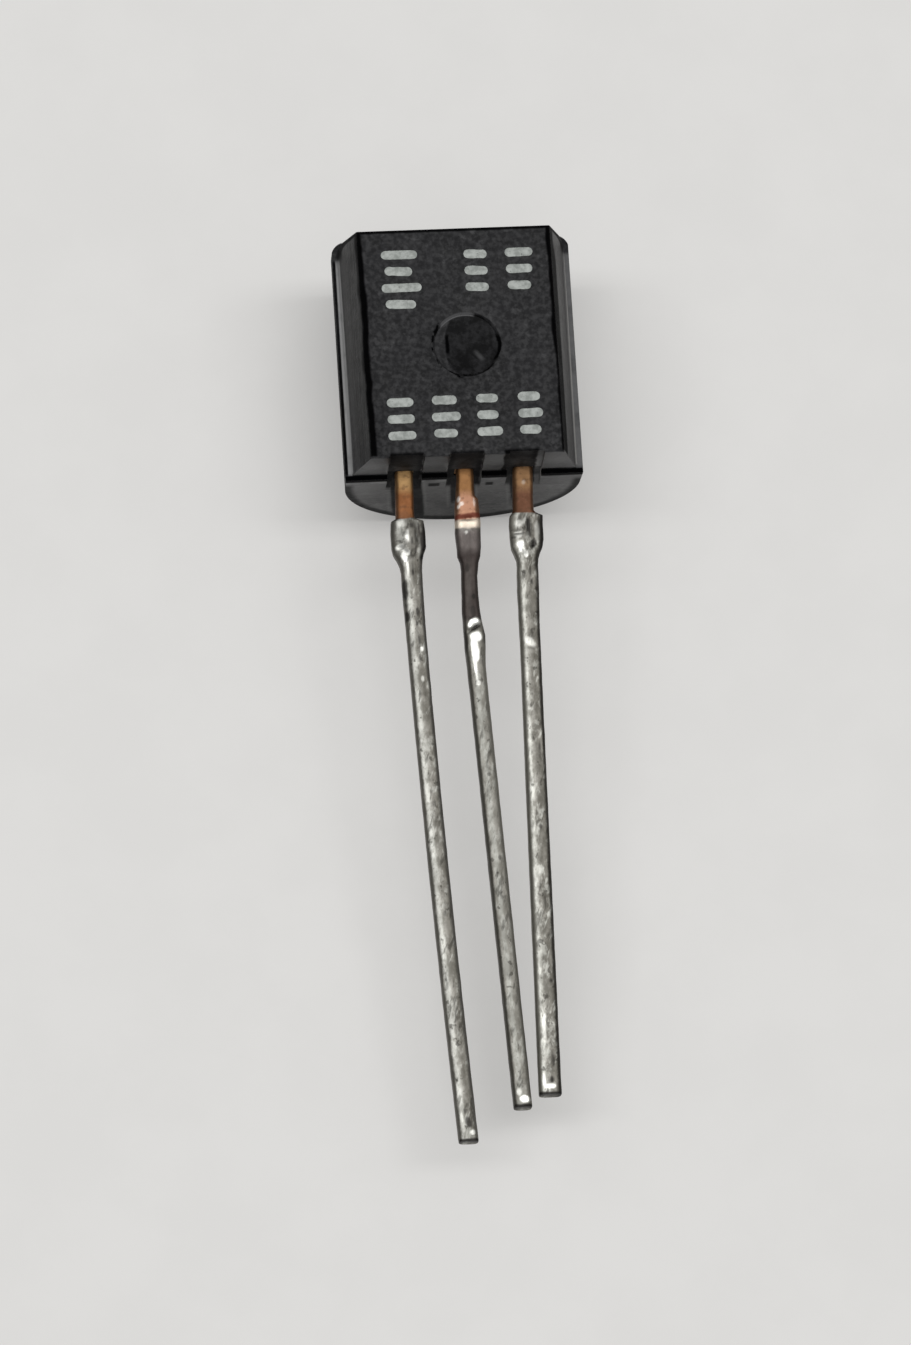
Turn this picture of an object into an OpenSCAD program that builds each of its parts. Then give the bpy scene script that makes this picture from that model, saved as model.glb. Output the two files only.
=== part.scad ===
// A three-lead transistor in a moulded TO-92 body, lying on its round back.
// The flat face looks up (+Z), the leads run towards -Y, and the body is centred on X = 0, Y = 0.
// The lowest line of the round back is at Z = 0. All sizes are millimetres.

/* [Body] */
// Width of the body across the back half, at the parting plane
body_w = 5.05; // [4.75:0.05:5.2]
// Height of the body from its lead end to its top end, at the parting plane
body_h = 5.33; // [5.03:0.05:5.53]
// Depth of the front half, from the parting plane to the flat face
front_d = 1.05; // [0.9:0.05:1.3]
// Depth of the back half, from the parting plane to the lowest line of the round back
back_d = 3.05; // [2.7:0.05:3.2]
// Width of the flat face between its two bevelled sides
face_w = 4.08; // [3.68:0.05:4.28]
// Lean of each end of the front half, from the parting plane to the flat face
front_lean = 0.02; // [0.01:0.01:0.12]
// Lean of each end of the back half, from the parting plane to the lowest line
back_lean = 0.07; // [0.03:0.01:0.2]
// Lean of each side of the back half, down to where the round back starts
side_lean = 0.02; // [0.01:0.01:0.06]
// Width of the ledge by which the back half stands out round the front half
ledge = 0.10; // [0.04:0.01:0.12]

/* [Body edges] */
// Radius of the two long edges of the flat face
side_edge_r = 0.10; // [0.03:0.01:0.15]
// Radius of the two short edges of the flat face
end_edge_r = 0.04; // [0.02:0.01:0.08]
// Radius of the back half's two top corners, seen from the front
corner_r = 0.34; // [0.2:0.02:0.5]
// Height of the groove along the lead end, above the parting plane
groove_h = 0.12; // [0.04:0.01:0.14]
// Depth of that groove
groove_d = 0.07; // [0.02:0.01:0.1]

/* [Ejector mark] */
// Diameter of the round mark in the flat face
mark_d = 1.36; // [0.8:0.02:1.6]
// Depth of the mark's floor below the flat face
mark_depth = 0.08; // [0.04:0.01:0.12]
// Width of the sloping rim round the mark
mark_rim = 0.05; // [0.02:0.01:0.08]
// Place of the mark's centre to the right of the middle of the face
mark_x = 0.16; // [-0.4:0.02:0.4]
// Place of the mark's centre above the middle of the face
mark_y = 0.00; // [-0.4:0.02:0.6]

/* [Lead exit notches] */
// Width of each notch that a lead leaves the body through
notch_w = 0.74; // [0.66:0.02:0.9]
// How far each notch reaches past the edge of the flat face
notch_past = 0.05; // [0.01:0.01:0.08]
// How far behind the parting plane each notch dies out in the end of the back half
notch_run = 1.05; // [0.7:0.05:1.4]

/* [Lead frame] */
// Distance between neighbouring leads where they leave the body
lead_pitch = 1.27; // [1.2:0.01:1.35]
// Thickness of the sheet that the lead frame is stamped from
sheet_t = 0.40; // [0.36:0.01:0.5]
// Width of an outer lead along its free length
lead_w = 0.46; // [0.41:0.01:0.53]
// Width of the middle lead along its free length
mid_lead_w = 0.42; // [0.41:0.01:0.53]
// Width of the bare neck of a lead as it leaves the body
neck_w = 0.40; // [0.34:0.01:0.44]
// Width across the cut-bar shoulders of an outer lead
shoulder_w = 0.70; // [0.56:0.01:0.8]
// Width across the cut-bar shoulders of the middle lead
mid_shoulder_w = 0.54; // [0.52:0.01:0.8]
// Distance from the body to the shoulders of a lead
neck_len = 0.92; // [0.7:0.02:1.2]
// Length of the shoulders
shoulder_len = 0.75; // [0.5:0.05:1.0]
// Length of the rise from the neck to the shoulders
shoulder_rise = 0.06; // [0.04:0.01:0.12]
// Length of the taper from the shoulders to the free length
taper_len = 0.34; // [0.2:0.02:0.6]

/* [Lead lengths and bends] */
// Length of the left lead from the body
left_len = 14.25; // [12.7:0.05:16]
// Length of the middle lead from the body
mid_len = 13.55; // [12.7:0.05:16]
// Length of the right lead from the body
right_len = 13.30; // [12.7:0.05:16]
// How far the left lead's tip leans to the right
left_tip_x = 0.58; // [0:0.02:0.7]
// How far the middle lead's tip leans to the right
mid_tip_x = 0.49; // [0:0.02:0.6]
// How far the right lead's tip leans to the left
right_tip_x = 0.17; // [0:0.01:0.3]
// How far each lead's tip droops below where the lead leaves the body
tip_drop = 1.25; // [0.7:0.05:1.6]
// Power of the left lead's lean: 1 is straight, and more brings the lean towards the tip
left_bow = 1.5; // [1:0.1:2]
// Power of the outer leads' droop: 1 is straight, and more brings the droop towards the tip
droop_bow = 1.15; // [1:0.05:1.5]
// Distance from the body to the kink in the middle lead
kink_at = 3.15; // [2.8:0.05:4]
// How far the middle lead has drooped at its kink
kink_drop = 0.50; // [0.3:0.05:0.55]
// Length of the level stretch past the kink
kink_flat = 1.10; // [0.6:0.05:1.6]
// Reach of each bend in the middle lead, along the lead
bend_run = 0.25; // [0.15:0.05:0.4]

/* [Inside the body] */
// Width of the paddle that carries the die
paddle_w = 2.0; // [1.6:0.05:2.4]
// Height of the paddle
paddle_h = 1.9; // [1.5:0.05:2.2]
// Distance from the body's lead end to the paddle
paddle_in = 2.25; // [2.15:0.05:2.5]
// Distance from the body's lead end to the two bond posts
post_in = 1.15; // [0.8:0.05:1.2]
// Height of each bond post
post_h = 0.80; // [0.5:0.05:0.85]
// How far each bond post reaches from its lead's centre towards the side of the body
post_out = 0.48; // [0.3:0.02:0.6]
// How far each bond post reaches from its lead's centre towards the middle lead
post_towards = 0.72; // [0.4:0.02:0.76]
// Width and height of the square silicon die
die_w = 0.80; // [0.4:0.05:1.1]
// Thickness of the die
die_t = 0.25; // [0.15:0.01:0.3]
// Thickness of the solder under the die
solder_t = 0.03; // [0.02:0.01:0.05]
// How far the solder shows round the die
solder_rim = 0.05; // [0.02:0.01:0.1]
// Diameter of the gold bond wires
wire_d = 0.05; // [0.03:0.005:0.06]
// Height of the wires' loops above the die
loop_h = 0.22; // [0.12:0.02:0.26]
// Diameter of the bonds at the wires' ends
bond_d = 0.13; // [0.1:0.01:0.16]
// Thickness of those bonds
bond_t = 0.04; // [0.04:0.005:0.06]

/* [Hidden] */
$fn = 64;

// room by which a cutting shape passes the surface that it cuts
past = 0.5;
face_z = back_d + front_d;
lead_end = -body_h / 2;
front_w = body_w - 2 * ledge;
front_h = body_h - 2 * ledge;
back_r = body_w / 2 - side_lean;
// the plan arcs of the top corners cross the sides by this much, so that no two surfaces are tangent
corner_cross = 0.02;
// the front half's end profile reaches this far into the back half, and its side profile twice as far
foot = front_d / 2;
notch_back = lead_end + ledge + front_lean + notch_past;
neck_mid_z = back_d - sheet_t / 2;
shoulder_end = neck_len + shoulder_rise + shoulder_len;
free_start = shoulder_end + taper_len;
free_steps = 8;
// the middle lead's droop as [distance from the body, share of kink_drop]: down, the kink, level, down
kinked_path = [[neck_len, 0.06], [neck_len + bend_run, 0.14], [kink_at - bend_run, 0.94], [kink_at, 1],
               [kink_at + bend_run, 1.01], [kink_at + kink_flat, 1.06], [kink_at + 2 * kink_flat, 1.2]];
die_y = lead_end + paddle_in + paddle_h / 2;
die_top = back_d + solder_t + die_t;
// the wires' bonds stand this share of the die's width from its centre
pad_share = 0.24;
// the wires' ends stand this share of their diameter above what they are bonded to
wire_lift = 0.6;
// under 1, this power brings the top of the wires' loops nearer the die
loop_skew = 0.6;
wire_sides = 8;
wire_steps = 14;

// A trapezoid on its base line, with both upper corners rounded to r and a straight part below the line.
module blunt_trapezoid(base, top, height, r, below) {
    lean_x = (base - top) / 2;
    turn = atan2(height, lean_x);
    run = r * tan(turn / 2);
    side = [lean_x, -height] / norm([lean_x, -height]);
    corner = [top / 2, height];
    right = [[base / 2, -below], [base / 2, 0], corner + run * side, corner - [run, 0]];
    left = [for (i = [3:-1:0]) [-right[i].x, right[i].y]];
    union() {
        polygon(concat(right, left));
        for (s = [-1, 1]) translate([s * (corner.x - run), height - r]) circle(r);
    }
}

// Extrudes an X-Z profile along Y, or a Y-Z profile along X, centred.
module along_y(length) { rotate([90, 0, 0]) linear_extrude(length, center = true) children(); }
module along_x(length) { rotate([90, 0, 90]) linear_extrude(length, center = true) children(); }

module front_half() {
    intersection() {
        translate([0, 0, back_d]) along_y(body_h)
            blunt_trapezoid(front_w, face_w, front_d, side_edge_r, 2 * foot);
        translate([0, 0, back_d]) along_x(body_w)
            blunt_trapezoid(front_h, front_h - 2 * front_lean, front_d, end_edge_r, foot);
        linear_extrude(face_z + past) corner_plan(front_w, front_h, corner_r - ledge);
    }
}

module back_half() {
    intersection() {
        along_y(body_h + past) union() {
            translate([0, back_r]) circle(back_r, $fn = 128);
            polygon([[-body_w / 2, back_d], [body_w / 2, back_d], [back_r, back_r], [-back_r, back_r]]);
        }
        along_x(body_w + past)
            polygon([[-body_h / 2, back_d], [body_h / 2, back_d],
                     [body_h / 2 - back_lean, 0], [back_lean - body_h / 2, 0]]);
        translate([0, 0, -past]) linear_extrude(back_d + 2 * past)
            corner_plan(body_w, body_h, corner_r);
    }
}

// The plan that rounds the two top corners. Its straight sides pass clear of the body.
module corner_plan(w, h, r) {
    in = r - corner_cross;
    union() {
        translate([-w / 2 - past, -h / 2 - past]) square([w + 2 * past, h + past - in]);
        translate([-w / 2 + in, -h / 2]) square([w - 2 * in, h + past]);
        for (s = [-1, 1]) translate([s * (w / 2 - in), h / 2 - in]) circle(r);
    }
}

// One lead's way out of the body: square through the front half, then sloping out of the back half's end.
module notch(x) {
    translate([x, 0, 0]) along_x(notch_w)
        polygon([[lead_end - past, face_z + past], [notch_back, face_z + past],
                 [notch_back, back_d - sheet_t], [lead_end - ledge, back_d - notch_run],
                 [lead_end - past, back_d - notch_run]]);
}

module ejector_mark() {
    translate([mark_x, mark_y, face_z - mark_depth]) {
        cylinder(d = mark_d, h = mark_depth + past);
        cylinder(d1 = mark_d, d2 = mark_d + 2 * mark_rim, h = mark_depth);
    }
}

module parting_groove() {
    translate([-body_w / 2, lead_end - past, back_d])
        cube([body_w, past + ledge + groove_d, groove_h]);
}

module epoxy_body() {
    color([0.17, 0.17, 0.18])
    difference() {
        union() {
            back_half();
            front_half();
        }
        for (i = [-1:1]) notch(i * lead_pitch);
        parting_groove();
        ejector_mark();
        linear_sheet() post_lead_inside(-1);
        linear_sheet() post_lead_inside(1);
        linear_sheet() paddle_lead_inside();
        die_block();
        solder_block();
        bond_wire(-1);
        bond_wire(1);
    }
}

// The flat stretch of the lead frame, its upper surface at the parting plane.
module linear_sheet() { translate([0, 0, back_d - sheet_t]) linear_extrude(sheet_t) children(); }

// Outline of a post lead inside the body, from its outer edge round to its inner edge. s is -1 left, 1 right.
function post_inside(s) =
    [for (p = [[neck_w / 2, 0], [neck_w / 2, post_in], [post_out, post_in], [post_out, post_in + post_h],
               [-post_towards, post_in + post_h], [-post_towards, post_in], [-neck_w / 2, post_in],
               [-neck_w / 2, 0]])
        [s * (lead_pitch + p.x), lead_end + p.y]];

function paddle_inside() =
    [for (p = [[neck_w / 2, 0], [neck_w / 2, paddle_in], [paddle_w / 2, paddle_in],
               [paddle_w / 2, paddle_in + paddle_h], [-paddle_w / 2, paddle_in + paddle_h],
               [-paddle_w / 2, paddle_in], [-neck_w / 2, paddle_in], [-neck_w / 2, 0]])
        [p.x, lead_end + p.y]];

module post_lead_inside(s) { polygon(post_inside(s)); }
module paddle_lead_inside() { polygon(paddle_inside()); }

// Distances from the body at which a lead of that length changes: neck, shoulders, taper, free length.
function stations(length) =
    concat([neck_len, neck_len + shoulder_rise, shoulder_end],
           [for (i = [0:free_steps]) free_start + (length - free_start) * i / free_steps]);

function width_at(d, shoulder, free) =
    lookup(d, [[neck_len, neck_w], [neck_len + shoulder_rise, shoulder], [shoulder_end, shoulder],
               [free_start, free]]);

// How far a lead has leaned sideways at a distance d: from start, it reaches tip at its end.
function lean_at(d, length, tip, start, power) =
    tip * pow(max(0, d - start) / (length - start), power);

// One edge of a lead's free length, from the body out. s is the side of the edge.
function lead_edge(x, s, length, tip, start, power, shoulder, free) =
    [for (d = stations(length))
        [x + lean_at(d, length, tip, start, power) + s * width_at(d, shoulder, free) / 2, lead_end - d]];

function reversed(list) = [for (i = [len(list) - 1:-1:0]) list[i]];

// The centre line of a lead seen from the side, as [distance from the body, droop].
function even_droop(length) =
    [for (i = [0:free_steps]) let (t = i / free_steps) [length * t, tip_drop * pow(t, droop_bow)]];

function kinked_droop(length) =
    concat([[0, 0]], [for (p = kinked_path) [p.x, kink_drop * p.y]], [[length, tip_drop]]);

// The side view of a bent strip of sheet: the centre line thickened by half the sheet each way.
module bent_strip(droop) {
    ends = concat([[-body_h, 0]], droop, [2 * droop[len(droop) - 1] - droop[len(droop) - 2]]);
    line = [for (p = ends) [lead_end - p.x, neck_mid_z - p.y]];
    last = len(line) - 1;
    normals = [for (i = [0:last])
        let (before = line[max(0, i - 1)], after = line[min(last, i + 1)],
             t = i == 1 ? line[1] - line[0] : after - before, u = t / norm(t))
        [u.y, -u.x]];
    upper = [for (i = [0:last]) line[i] + normals[i] * sheet_t / 2];
    lower = [for (i = [0:last]) line[i] - normals[i] * sheet_t / 2];
    polygon(concat(upper, reversed(lower)));
}

// A lead is its stamped outline, raised through the side view of the bent strip.
module bent_lead(outline, droop) {
    intersection() {
        linear_extrude(face_z) polygon(outline);
        along_x(2 * body_w) bent_strip(droop);
    }
}

function post_lead_outline(s, length, tip, power) =
    concat(reversed(lead_edge(s * lead_pitch, s, length, tip, 0, power, shoulder_w, lead_w)),
           post_inside(s),
           lead_edge(s * lead_pitch, -s, length, tip, 0, power, shoulder_w, lead_w));

module base_lead() {
    color([0.66, 0.66, 0.64])
    bent_lead(post_lead_outline(-1, left_len, left_tip_x, left_bow), even_droop(left_len));
}

module emitter_lead() {
    color([0.66, 0.66, 0.64])
    bent_lead(post_lead_outline(1, right_len, -right_tip_x, 1), even_droop(right_len));
}

module collector_lead() {
    edge = [for (s = [1, -1])
        lead_edge(0, s, mid_len, mid_tip_x, kink_at, 1, mid_shoulder_w, mid_lead_w)];
    color([0.66, 0.66, 0.64])
    bent_lead(concat(reversed(edge[0]), paddle_inside(), edge[1]), kinked_droop(mid_len));
}

module die_block() {
    translate([-die_w / 2, die_y - die_w / 2, back_d + solder_t]) cube([die_w, die_w, die_t]);
}

module solder_block() {
    w = die_w + 2 * solder_rim;
    translate([-w / 2, die_y - w / 2, back_d]) cube([w, w, solder_t]);
}

module die() { color([0.35, 0.36, 0.42]) die_block(); }
module die_solder() { color([0.6, 0.6, 0.62]) solder_block(); }

// A bond wire loops from the die to the post on side s.
module bond_wire(s) {
    from = [s * die_w * pad_share, die_y - die_w * pad_share, die_top];
    to = [s * (lead_pitch + (post_out - post_towards) / 2), lead_end + post_in + post_h / 2, back_d];
    lift = [0, 0, wire_lift * wire_d];
    start = from + lift;
    end = to + lift;
    across = [to.y - from.y, from.x - to.x, 0] / norm([to.y - from.y, from.x - to.x]);
    line = [for (i = [0:wire_steps])
        let (t = i / wire_steps)
        start + (end - start) * t + [0, 0, loop_h * sin(180 * pow(t, loop_skew))]];
    rings = [for (i = [0:wire_steps])
        let (d = line[min(wire_steps, i + 1)] - line[max(0, i - 1)], u = d / norm(d), up = cross(u, across))
        [for (k = [0:wire_sides - 1])
            let (a = 360 * k / wire_sides) line[i] + wire_d / 2 * (cos(a) * across + sin(a) * up)]];
    sides = [for (i = [0:wire_steps - 1], k = [0:wire_sides - 1])
        let (n = (k + 1) % wire_sides, low = i * wire_sides, high = low + wire_sides)
        [low + k, low + n, high + n, high + k]];
    first = [for (k = [wire_sides - 1:-1:0]) k];
    final = [for (k = [0:wire_sides - 1]) wire_steps * wire_sides + k];
    union() {
        polyhedron([for (r = rings) each r], concat([first], sides, [final]));
        translate(from) cylinder(d = bond_d, h = bond_t);
        translate(to) cylinder(d = bond_d, h = bond_t);
    }
}

module base_wire() { color("gold") bond_wire(-1); }
module emitter_wire() { color("gold") bond_wire(1); }

epoxy_body();
base_lead();
collector_lead();
emitter_lead();
die();
die_solder();
base_wire();
emitter_wire();
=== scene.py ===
import math
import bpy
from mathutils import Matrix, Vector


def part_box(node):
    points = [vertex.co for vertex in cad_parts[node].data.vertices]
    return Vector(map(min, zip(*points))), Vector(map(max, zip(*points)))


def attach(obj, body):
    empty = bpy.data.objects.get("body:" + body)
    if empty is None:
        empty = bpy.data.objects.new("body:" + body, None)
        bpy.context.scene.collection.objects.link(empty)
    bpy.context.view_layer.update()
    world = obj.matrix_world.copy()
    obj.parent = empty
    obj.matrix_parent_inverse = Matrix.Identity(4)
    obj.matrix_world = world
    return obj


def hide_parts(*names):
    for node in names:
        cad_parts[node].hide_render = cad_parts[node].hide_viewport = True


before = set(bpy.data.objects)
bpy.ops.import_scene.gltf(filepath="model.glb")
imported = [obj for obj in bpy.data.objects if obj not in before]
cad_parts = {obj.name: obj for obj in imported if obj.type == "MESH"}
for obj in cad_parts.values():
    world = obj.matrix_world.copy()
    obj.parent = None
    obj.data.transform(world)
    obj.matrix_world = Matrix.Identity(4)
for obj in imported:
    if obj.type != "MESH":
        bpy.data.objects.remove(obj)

from types import SimpleNamespace
import bpy
import bmesh
from mathutils import Matrix, Vector, noise

mm = 0.001
leadPitch = 1.27  # mm
leadHeight = 2.85  # mm, the middle of the leads where they leave the body
mergeWithin = 0.0002  # mm, points this close are one
scene = bpy.context.scene
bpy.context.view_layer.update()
print("frame loaded:", ", ".join(sorted(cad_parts)))


cameraSet = {
    "target": (-0.370, -6.68, 2.0),  # mm, what the camera looks at
    "tilt": 17.77,  # degrees towards the tips of the leads
    "aside": 4.9,  # degrees towards the left of the body
    "roll": -3.66,
    "distance": 300.0,
    "lens": 379.5,
    "clip": (0.01, 20),  # metres
}


def makeCamera(settings):
    tilt, aside, roll = (math.radians(settings[k]) for k in ("tilt", "aside", "roll"))
    away = Vector((-math.tan(aside), -math.tan(tilt), 1)).normalized()
    right = Vector((0, 1, 0)).cross(away).normalized()
    up = away.cross(right)
    turnedRight = right * math.cos(roll) + up * math.sin(roll)
    turnedUp = up * math.cos(roll) - right * math.sin(roll)
    data = bpy.data.cameras.new("camera")
    data.lens = settings["lens"]
    data.clip_start, data.clip_end = settings["clip"]
    camera = bpy.data.objects.new("camera", data)
    place = (Vector(settings["target"]) + away * settings["distance"]) * mm
    camera.matrix_world = Matrix.Translation(place) @ Matrix(
        (turnedRight, turnedUp, away)).transposed().to_4x4()
    scene.collection.objects.link(camera)
    scene.camera = camera


makeCamera(cameraSet)
scene.view_settings.view_transform = "Standard"
print("camera set")


# small helpers for node trees; in all of them a value is a number or a socket
def tone(red, green, blue):  # a colour as it looks on a screen, 0 to 255
    return tuple(c / 255 / 12.92 if c < 11 else ((c / 255 + 0.055) / 1.055) ** 2.4
                 for c in (red, green, blue)) + (1.0,)


def plug(tree, socket, value):
    if isinstance(value, bpy.types.NodeSocket):
        tree.links.new(value, socket)
    else:
        socket.default_value = value


def addNode(tree, kind, inputs=None, **settings):
    made = tree.nodes.new(kind)
    for name, value in settings.items():
        setattr(made, name, value)
    for name, value in (inputs or {}).items():
        plug(tree, made.inputs[name], value)
    return made


def maths(tree, operation, first, second=0.0, third=0.0, clamp=False):
    return addNode(tree, "ShaderNodeMath", {0: first, 1: second, 2: third},
                   operation=operation, use_clamp=clamp).outputs[0]


def scaled(tree, value, factor, offset):
    return maths(tree, "MULTIPLY_ADD", value, factor, offset)


def minus(tree, first, second):
    return maths(tree, "SUBTRACT", first, second)


def unsigned(tree, value):
    return maths(tree, "ABSOLUTE", value)


def product(tree, *masks):
    made = masks[0]
    for mask in masks[1:]:
        made = maths(tree, "MULTIPLY", made, mask)
    return made


def largest(tree, *masks):
    made = masks[0]
    for mask in masks[1:]:
        made = maths(tree, "MAXIMUM", made, mask)
    return made


def reachOf(tree, first, second):  # how far a place with these two coordinates is from zero
    squares = (product(tree, first, first), product(tree, second, second))
    return maths(tree, "POWER", maths(tree, "ADD", *squares), 0.5)


def fade(tree, value, low, high, fromLevel=0.0, toLevel=1.0):
    # from one level to another while the value goes from low to high
    return addNode(tree, "ShaderNodeMapRange", {
        "Value": value, "From Min": low, "From Max": high,
        "To Min": fromLevel, "To Max": toLevel}, interpolation_type="SMOOTHSTEP").outputs[0]


def fadeOut(tree, value, low, high):
    return fade(tree, value, low, high, 1.0, 0.0)


def band(tree, value, low, high, soft):  # 1 from low to high, fading over soft
    return product(tree, fade(tree, value, low - soft, low + soft),
                   fadeOut(tree, value, high - soft, high + soft))


def noiseAt(tree, place, scale, detail=2.0, rough=0.5):
    return addNode(tree, "ShaderNodeTexNoise", {
        "Vector": place, "Scale": scale, "Detail": detail, "Roughness": rough}).outputs["Fac"]


def grain(tree, place, scale, low, high, detail=3.0, rough=0.55, shift=(0, 0, 0),
          stretch=(1, 1, 1)):
    moved = addNode(tree, "ShaderNodeMapping", {
        "Vector": place, "Scale": stretch, "Location": shift}).outputs[0]
    return fade(tree, noiseAt(tree, moved, scale, detail, rough), low, high)


def blend(tree, share, first, second):
    made = addNode(tree, "ShaderNodeMix", {"Factor": share}, data_type="RGBA")
    plug(tree, made.inputs[6], first)
    plug(tree, made.inputs[7], second)
    return made.outputs[2]


def paint(tree, colour, *coats):  # each coat is a mask and a colour, laid over what is there
    for mask, coat in coats:
        colour = blend(tree, mask, colour, coat)
    return colour


def axes(tree, place):
    return addNode(tree, "ShaderNodeSeparateXYZ", {0: place}).outputs


def startMaterial(name):  # its place is in mm, on the piece's own coordinates
    material = bpy.data.materials.new(name)
    material.use_nodes = True
    tree = material.node_tree
    shader = tree.nodes["Principled BSDF"]
    here = addNode(tree, "ShaderNodeTexCoord").outputs["Object"]
    place = addNode(tree, "ShaderNodeVectorMath", {0: here, 3: 1 / mm},
                    operation="SCALE").outputs[0]
    return material, tree, shader, place


def finishMaterial(tree, shader, colour, roughness, height=None, depth=0.0, strength=1.0):
    plug(tree, shader.inputs["Base Color"], colour)
    plug(tree, shader.inputs["Roughness"], roughness)
    if height is not None:
        bump = addNode(tree, "ShaderNodeBump", {
            "Height": height, "Distance": depth * mm, "Strength": strength})
        tree.links.new(bump.outputs[0], shader.inputs["Normal"])


bodySet = {
    "sliver": 0.0002,  # mm, as are all sizes here
    "flatWithin": 0.6,  # degrees
    "edgeRound": 0.022,
    "roundFrom": 24,  # degrees between two faces
    "smoothTo": 35,
    "faceSunk": 0.006,  # room for the ink
    "groove": (3.16, 3.18, 3.07),  # its top edge at the lead end comes down to the last height
    "grooveTo": -2.4,
    "backRound": 2.505,  # radius of the back, about an axis this high
    "backCuts": 2,
    "markFrom": (0.16, 0.0),
    "markReach": 0.8,
    "markTo": (0.134, -0.065),
    "hollows": (2.3, -2.45, 2.3, 3.9),  # half width, end, far end, top; edges in there stay
}

epoxySet = {
    "dark": tone(3, 3, 4),
    "light": tone(26, 26, 28),
    "scuff": tone(78, 78, 79),
    "wall": (tone(20, 20, 22), tone(68, 67, 66)),  # the moulded sides, with painted reflection, darkest next to the face
    "endWall": tone(112, 112, 113),  # the lead end of the front half, painted paler as a reflection
    "black": tone(5, 5, 6),
    # pale, for painted highlights and painted light
    "paintedLight": tone(130, 130, 130),
    "paintedRimLight": tone(152, 150, 146),  # painted light on the rim of the right side
    "markFloor": (tone(2, 2, 3), tone(19, 19, 21)),
    "markRim": tone(84, 84, 85),
    # patterns: scale, low and high level, detail, roughness, shift, stretch
    "mottle": (2.6, 0.32, 0.68, 6, 0.74),
    "blobs": (6.5, 0.34, 0.66, 2, 0.5, (1, 5, 0)),
    "cloud": (0.55, 0.3, 0.7, 2),
    "fine": (9.0, 0.36, 0.70, 3, 0.6, (2, 1, 0)),
    "speck": (5.0, 0.56, 0.76, 4, 0.6),
    "rubPatch": (1.0, 0.56, 0.70, 5, 0.7, (3.1, 0.4, 0)),
    "rubGrain": (7, 0.42, 0.6, 3, 0.7),
    "drawn": (9, 0.32, 0.68, 4, 0.7, (0, 0, 0), (1.0, 0.07, 1.0)),
    "blotch": (3.6, 0.42, 0.66, 5, 0.65, (0, 2.7, 0)),
    "dots": (4.4, 0.47, 0.55, 2, 0.55, (4, 0, 0)),
    "seamGrain": (1.6, 0.1, 0.5, 3),
    "pits": (7, 0.30, 0.42, 2),
    # how much of each mark shows
    "shares": {
        "fine": 0.3, "speck": 0.42, "rub": 0.26, "drawn": 0.22, "besideFace": 0.4, "flank": 0.8,
        "wedge": 0.5, "ring": 0.95, "edgeLine": 0.94, "grime": 0.8, "tabEdge": 0.2, "bars": 0.85,
        "outline": 0.75, "farEdge": 0.85, "dull": 0.9,
    },
    # places, in mm
    "parting": 3.05,  # height of the parting plane
    "endY": -2.56,  # the lead end's face
    "faceHalf": 2.03,  # where the long edges of the face run
    "frontHalf": (2.425, 2.565),  # half width and half height of the front half at its foot
    "frontCorner": 0.22,
    "ledge": (2.35, 2.38),  # the step at the parting plane starts over this stretch
    "ledgeRim": (2.455, 2.475),
    "rimLightSpan": (-0.32, -0.20, 0.06),  # the painted rim light, from the parting plane: starts, full, gone
    "partLine": (-0.16, 0.05),  # the painted shade across the lead end, from the parting plane
    "lipTop": (0.16, 0.32),
    "underLine": (-0.31, -0.17),
    "notchHalf": (0.33, 0.39),
    "grimeLean": 0.083,  # the painted lead shadow moves sideways this far for each mm under the leads
    "bars": ((-0.74, -0.50, 2.43, 2.64), (0.48, 0.64, 2.38, 2.58)),  # left, right, foot, head
    "edgeLineHalf": (0.035, 0.095),
    "endOutline": (2.26, 2.44),  # from the axis of the back
    "farEdge": (0.11, 0.15),  # from the far corners' own centres
    "leadsHalf": (1.66, 1.70),  # the outer notches end here
    "markRadius": 0.70,
    "markArc": (0.66, 0.72),
    "floorAside": 0.15,  # the dark floor of the mark is narrower and leaves a crescent
    "floorNarrow": 0.83,
    "floorSquare": 2.6,  # 2 would be an ellipse
    "faceRough": 0.60,
    "sideRough": 0.34,
    "specular": 0.2,
    "bump": (0.006, 0.8),  # depth and strength
}


def epoxyFields(tree, place, settings):
    # what the masks of the epoxy are made from: place, facing, halves, mottle and waves
    at = SimpleNamespace(place=place)
    at.x, at.y, at.z = axes(tree, place)
    normal = addNode(tree, "ShaderNodeNewGeometry").outputs["Normal"]
    at.across, at.along, at.upward = axes(tree, normal)
    at.side = unsigned(tree, at.x)
    at.upright = fadeOut(tree, at.upward, 0.3, 0.75)
    at.steep = fade(tree, unsigned(tree, at.across), 0.5, 0.8)
    at.rightHalf = fade(tree, at.x, 0.0, 0.6)
    at.leftHalf = minus(tree, 1.0, at.rightHalf)
    at.mottle = grain(tree, place, *settings["mottle"])
    at.down = fade(tree, at.z, settings["parting"] + 0.85, settings["parting"] + 0.15)
    at.wave = scaled(tree, noiseAt(tree, place, 1.3), 0.16, -0.08)
    at.wavyZ = scaled(tree, at.wave, 0.4, at.z)
    at.atEnd = fadeOut(tree, at.y, settings["endY"] + 0.02, settings["endY"] + 0.06)
    return at


def skinCoats(tree, at, settings):  # pale specks and rubbed patches
    shares, scuff = settings["shares"], settings["scuff"]
    fine = grain(tree, at.place, *settings["fine"])
    speck = grain(tree, at.place, *settings["speck"])
    rub = product(tree, grain(tree, at.place, *settings["rubPatch"]),
                  grain(tree, at.place, *settings["rubGrain"]))
    return [(product(tree, fine, shares["fine"]), scuff),
            (product(tree, speck, shares["speck"]), scuff),
            (product(tree, rub, shares["rub"]), scuff)]


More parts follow.
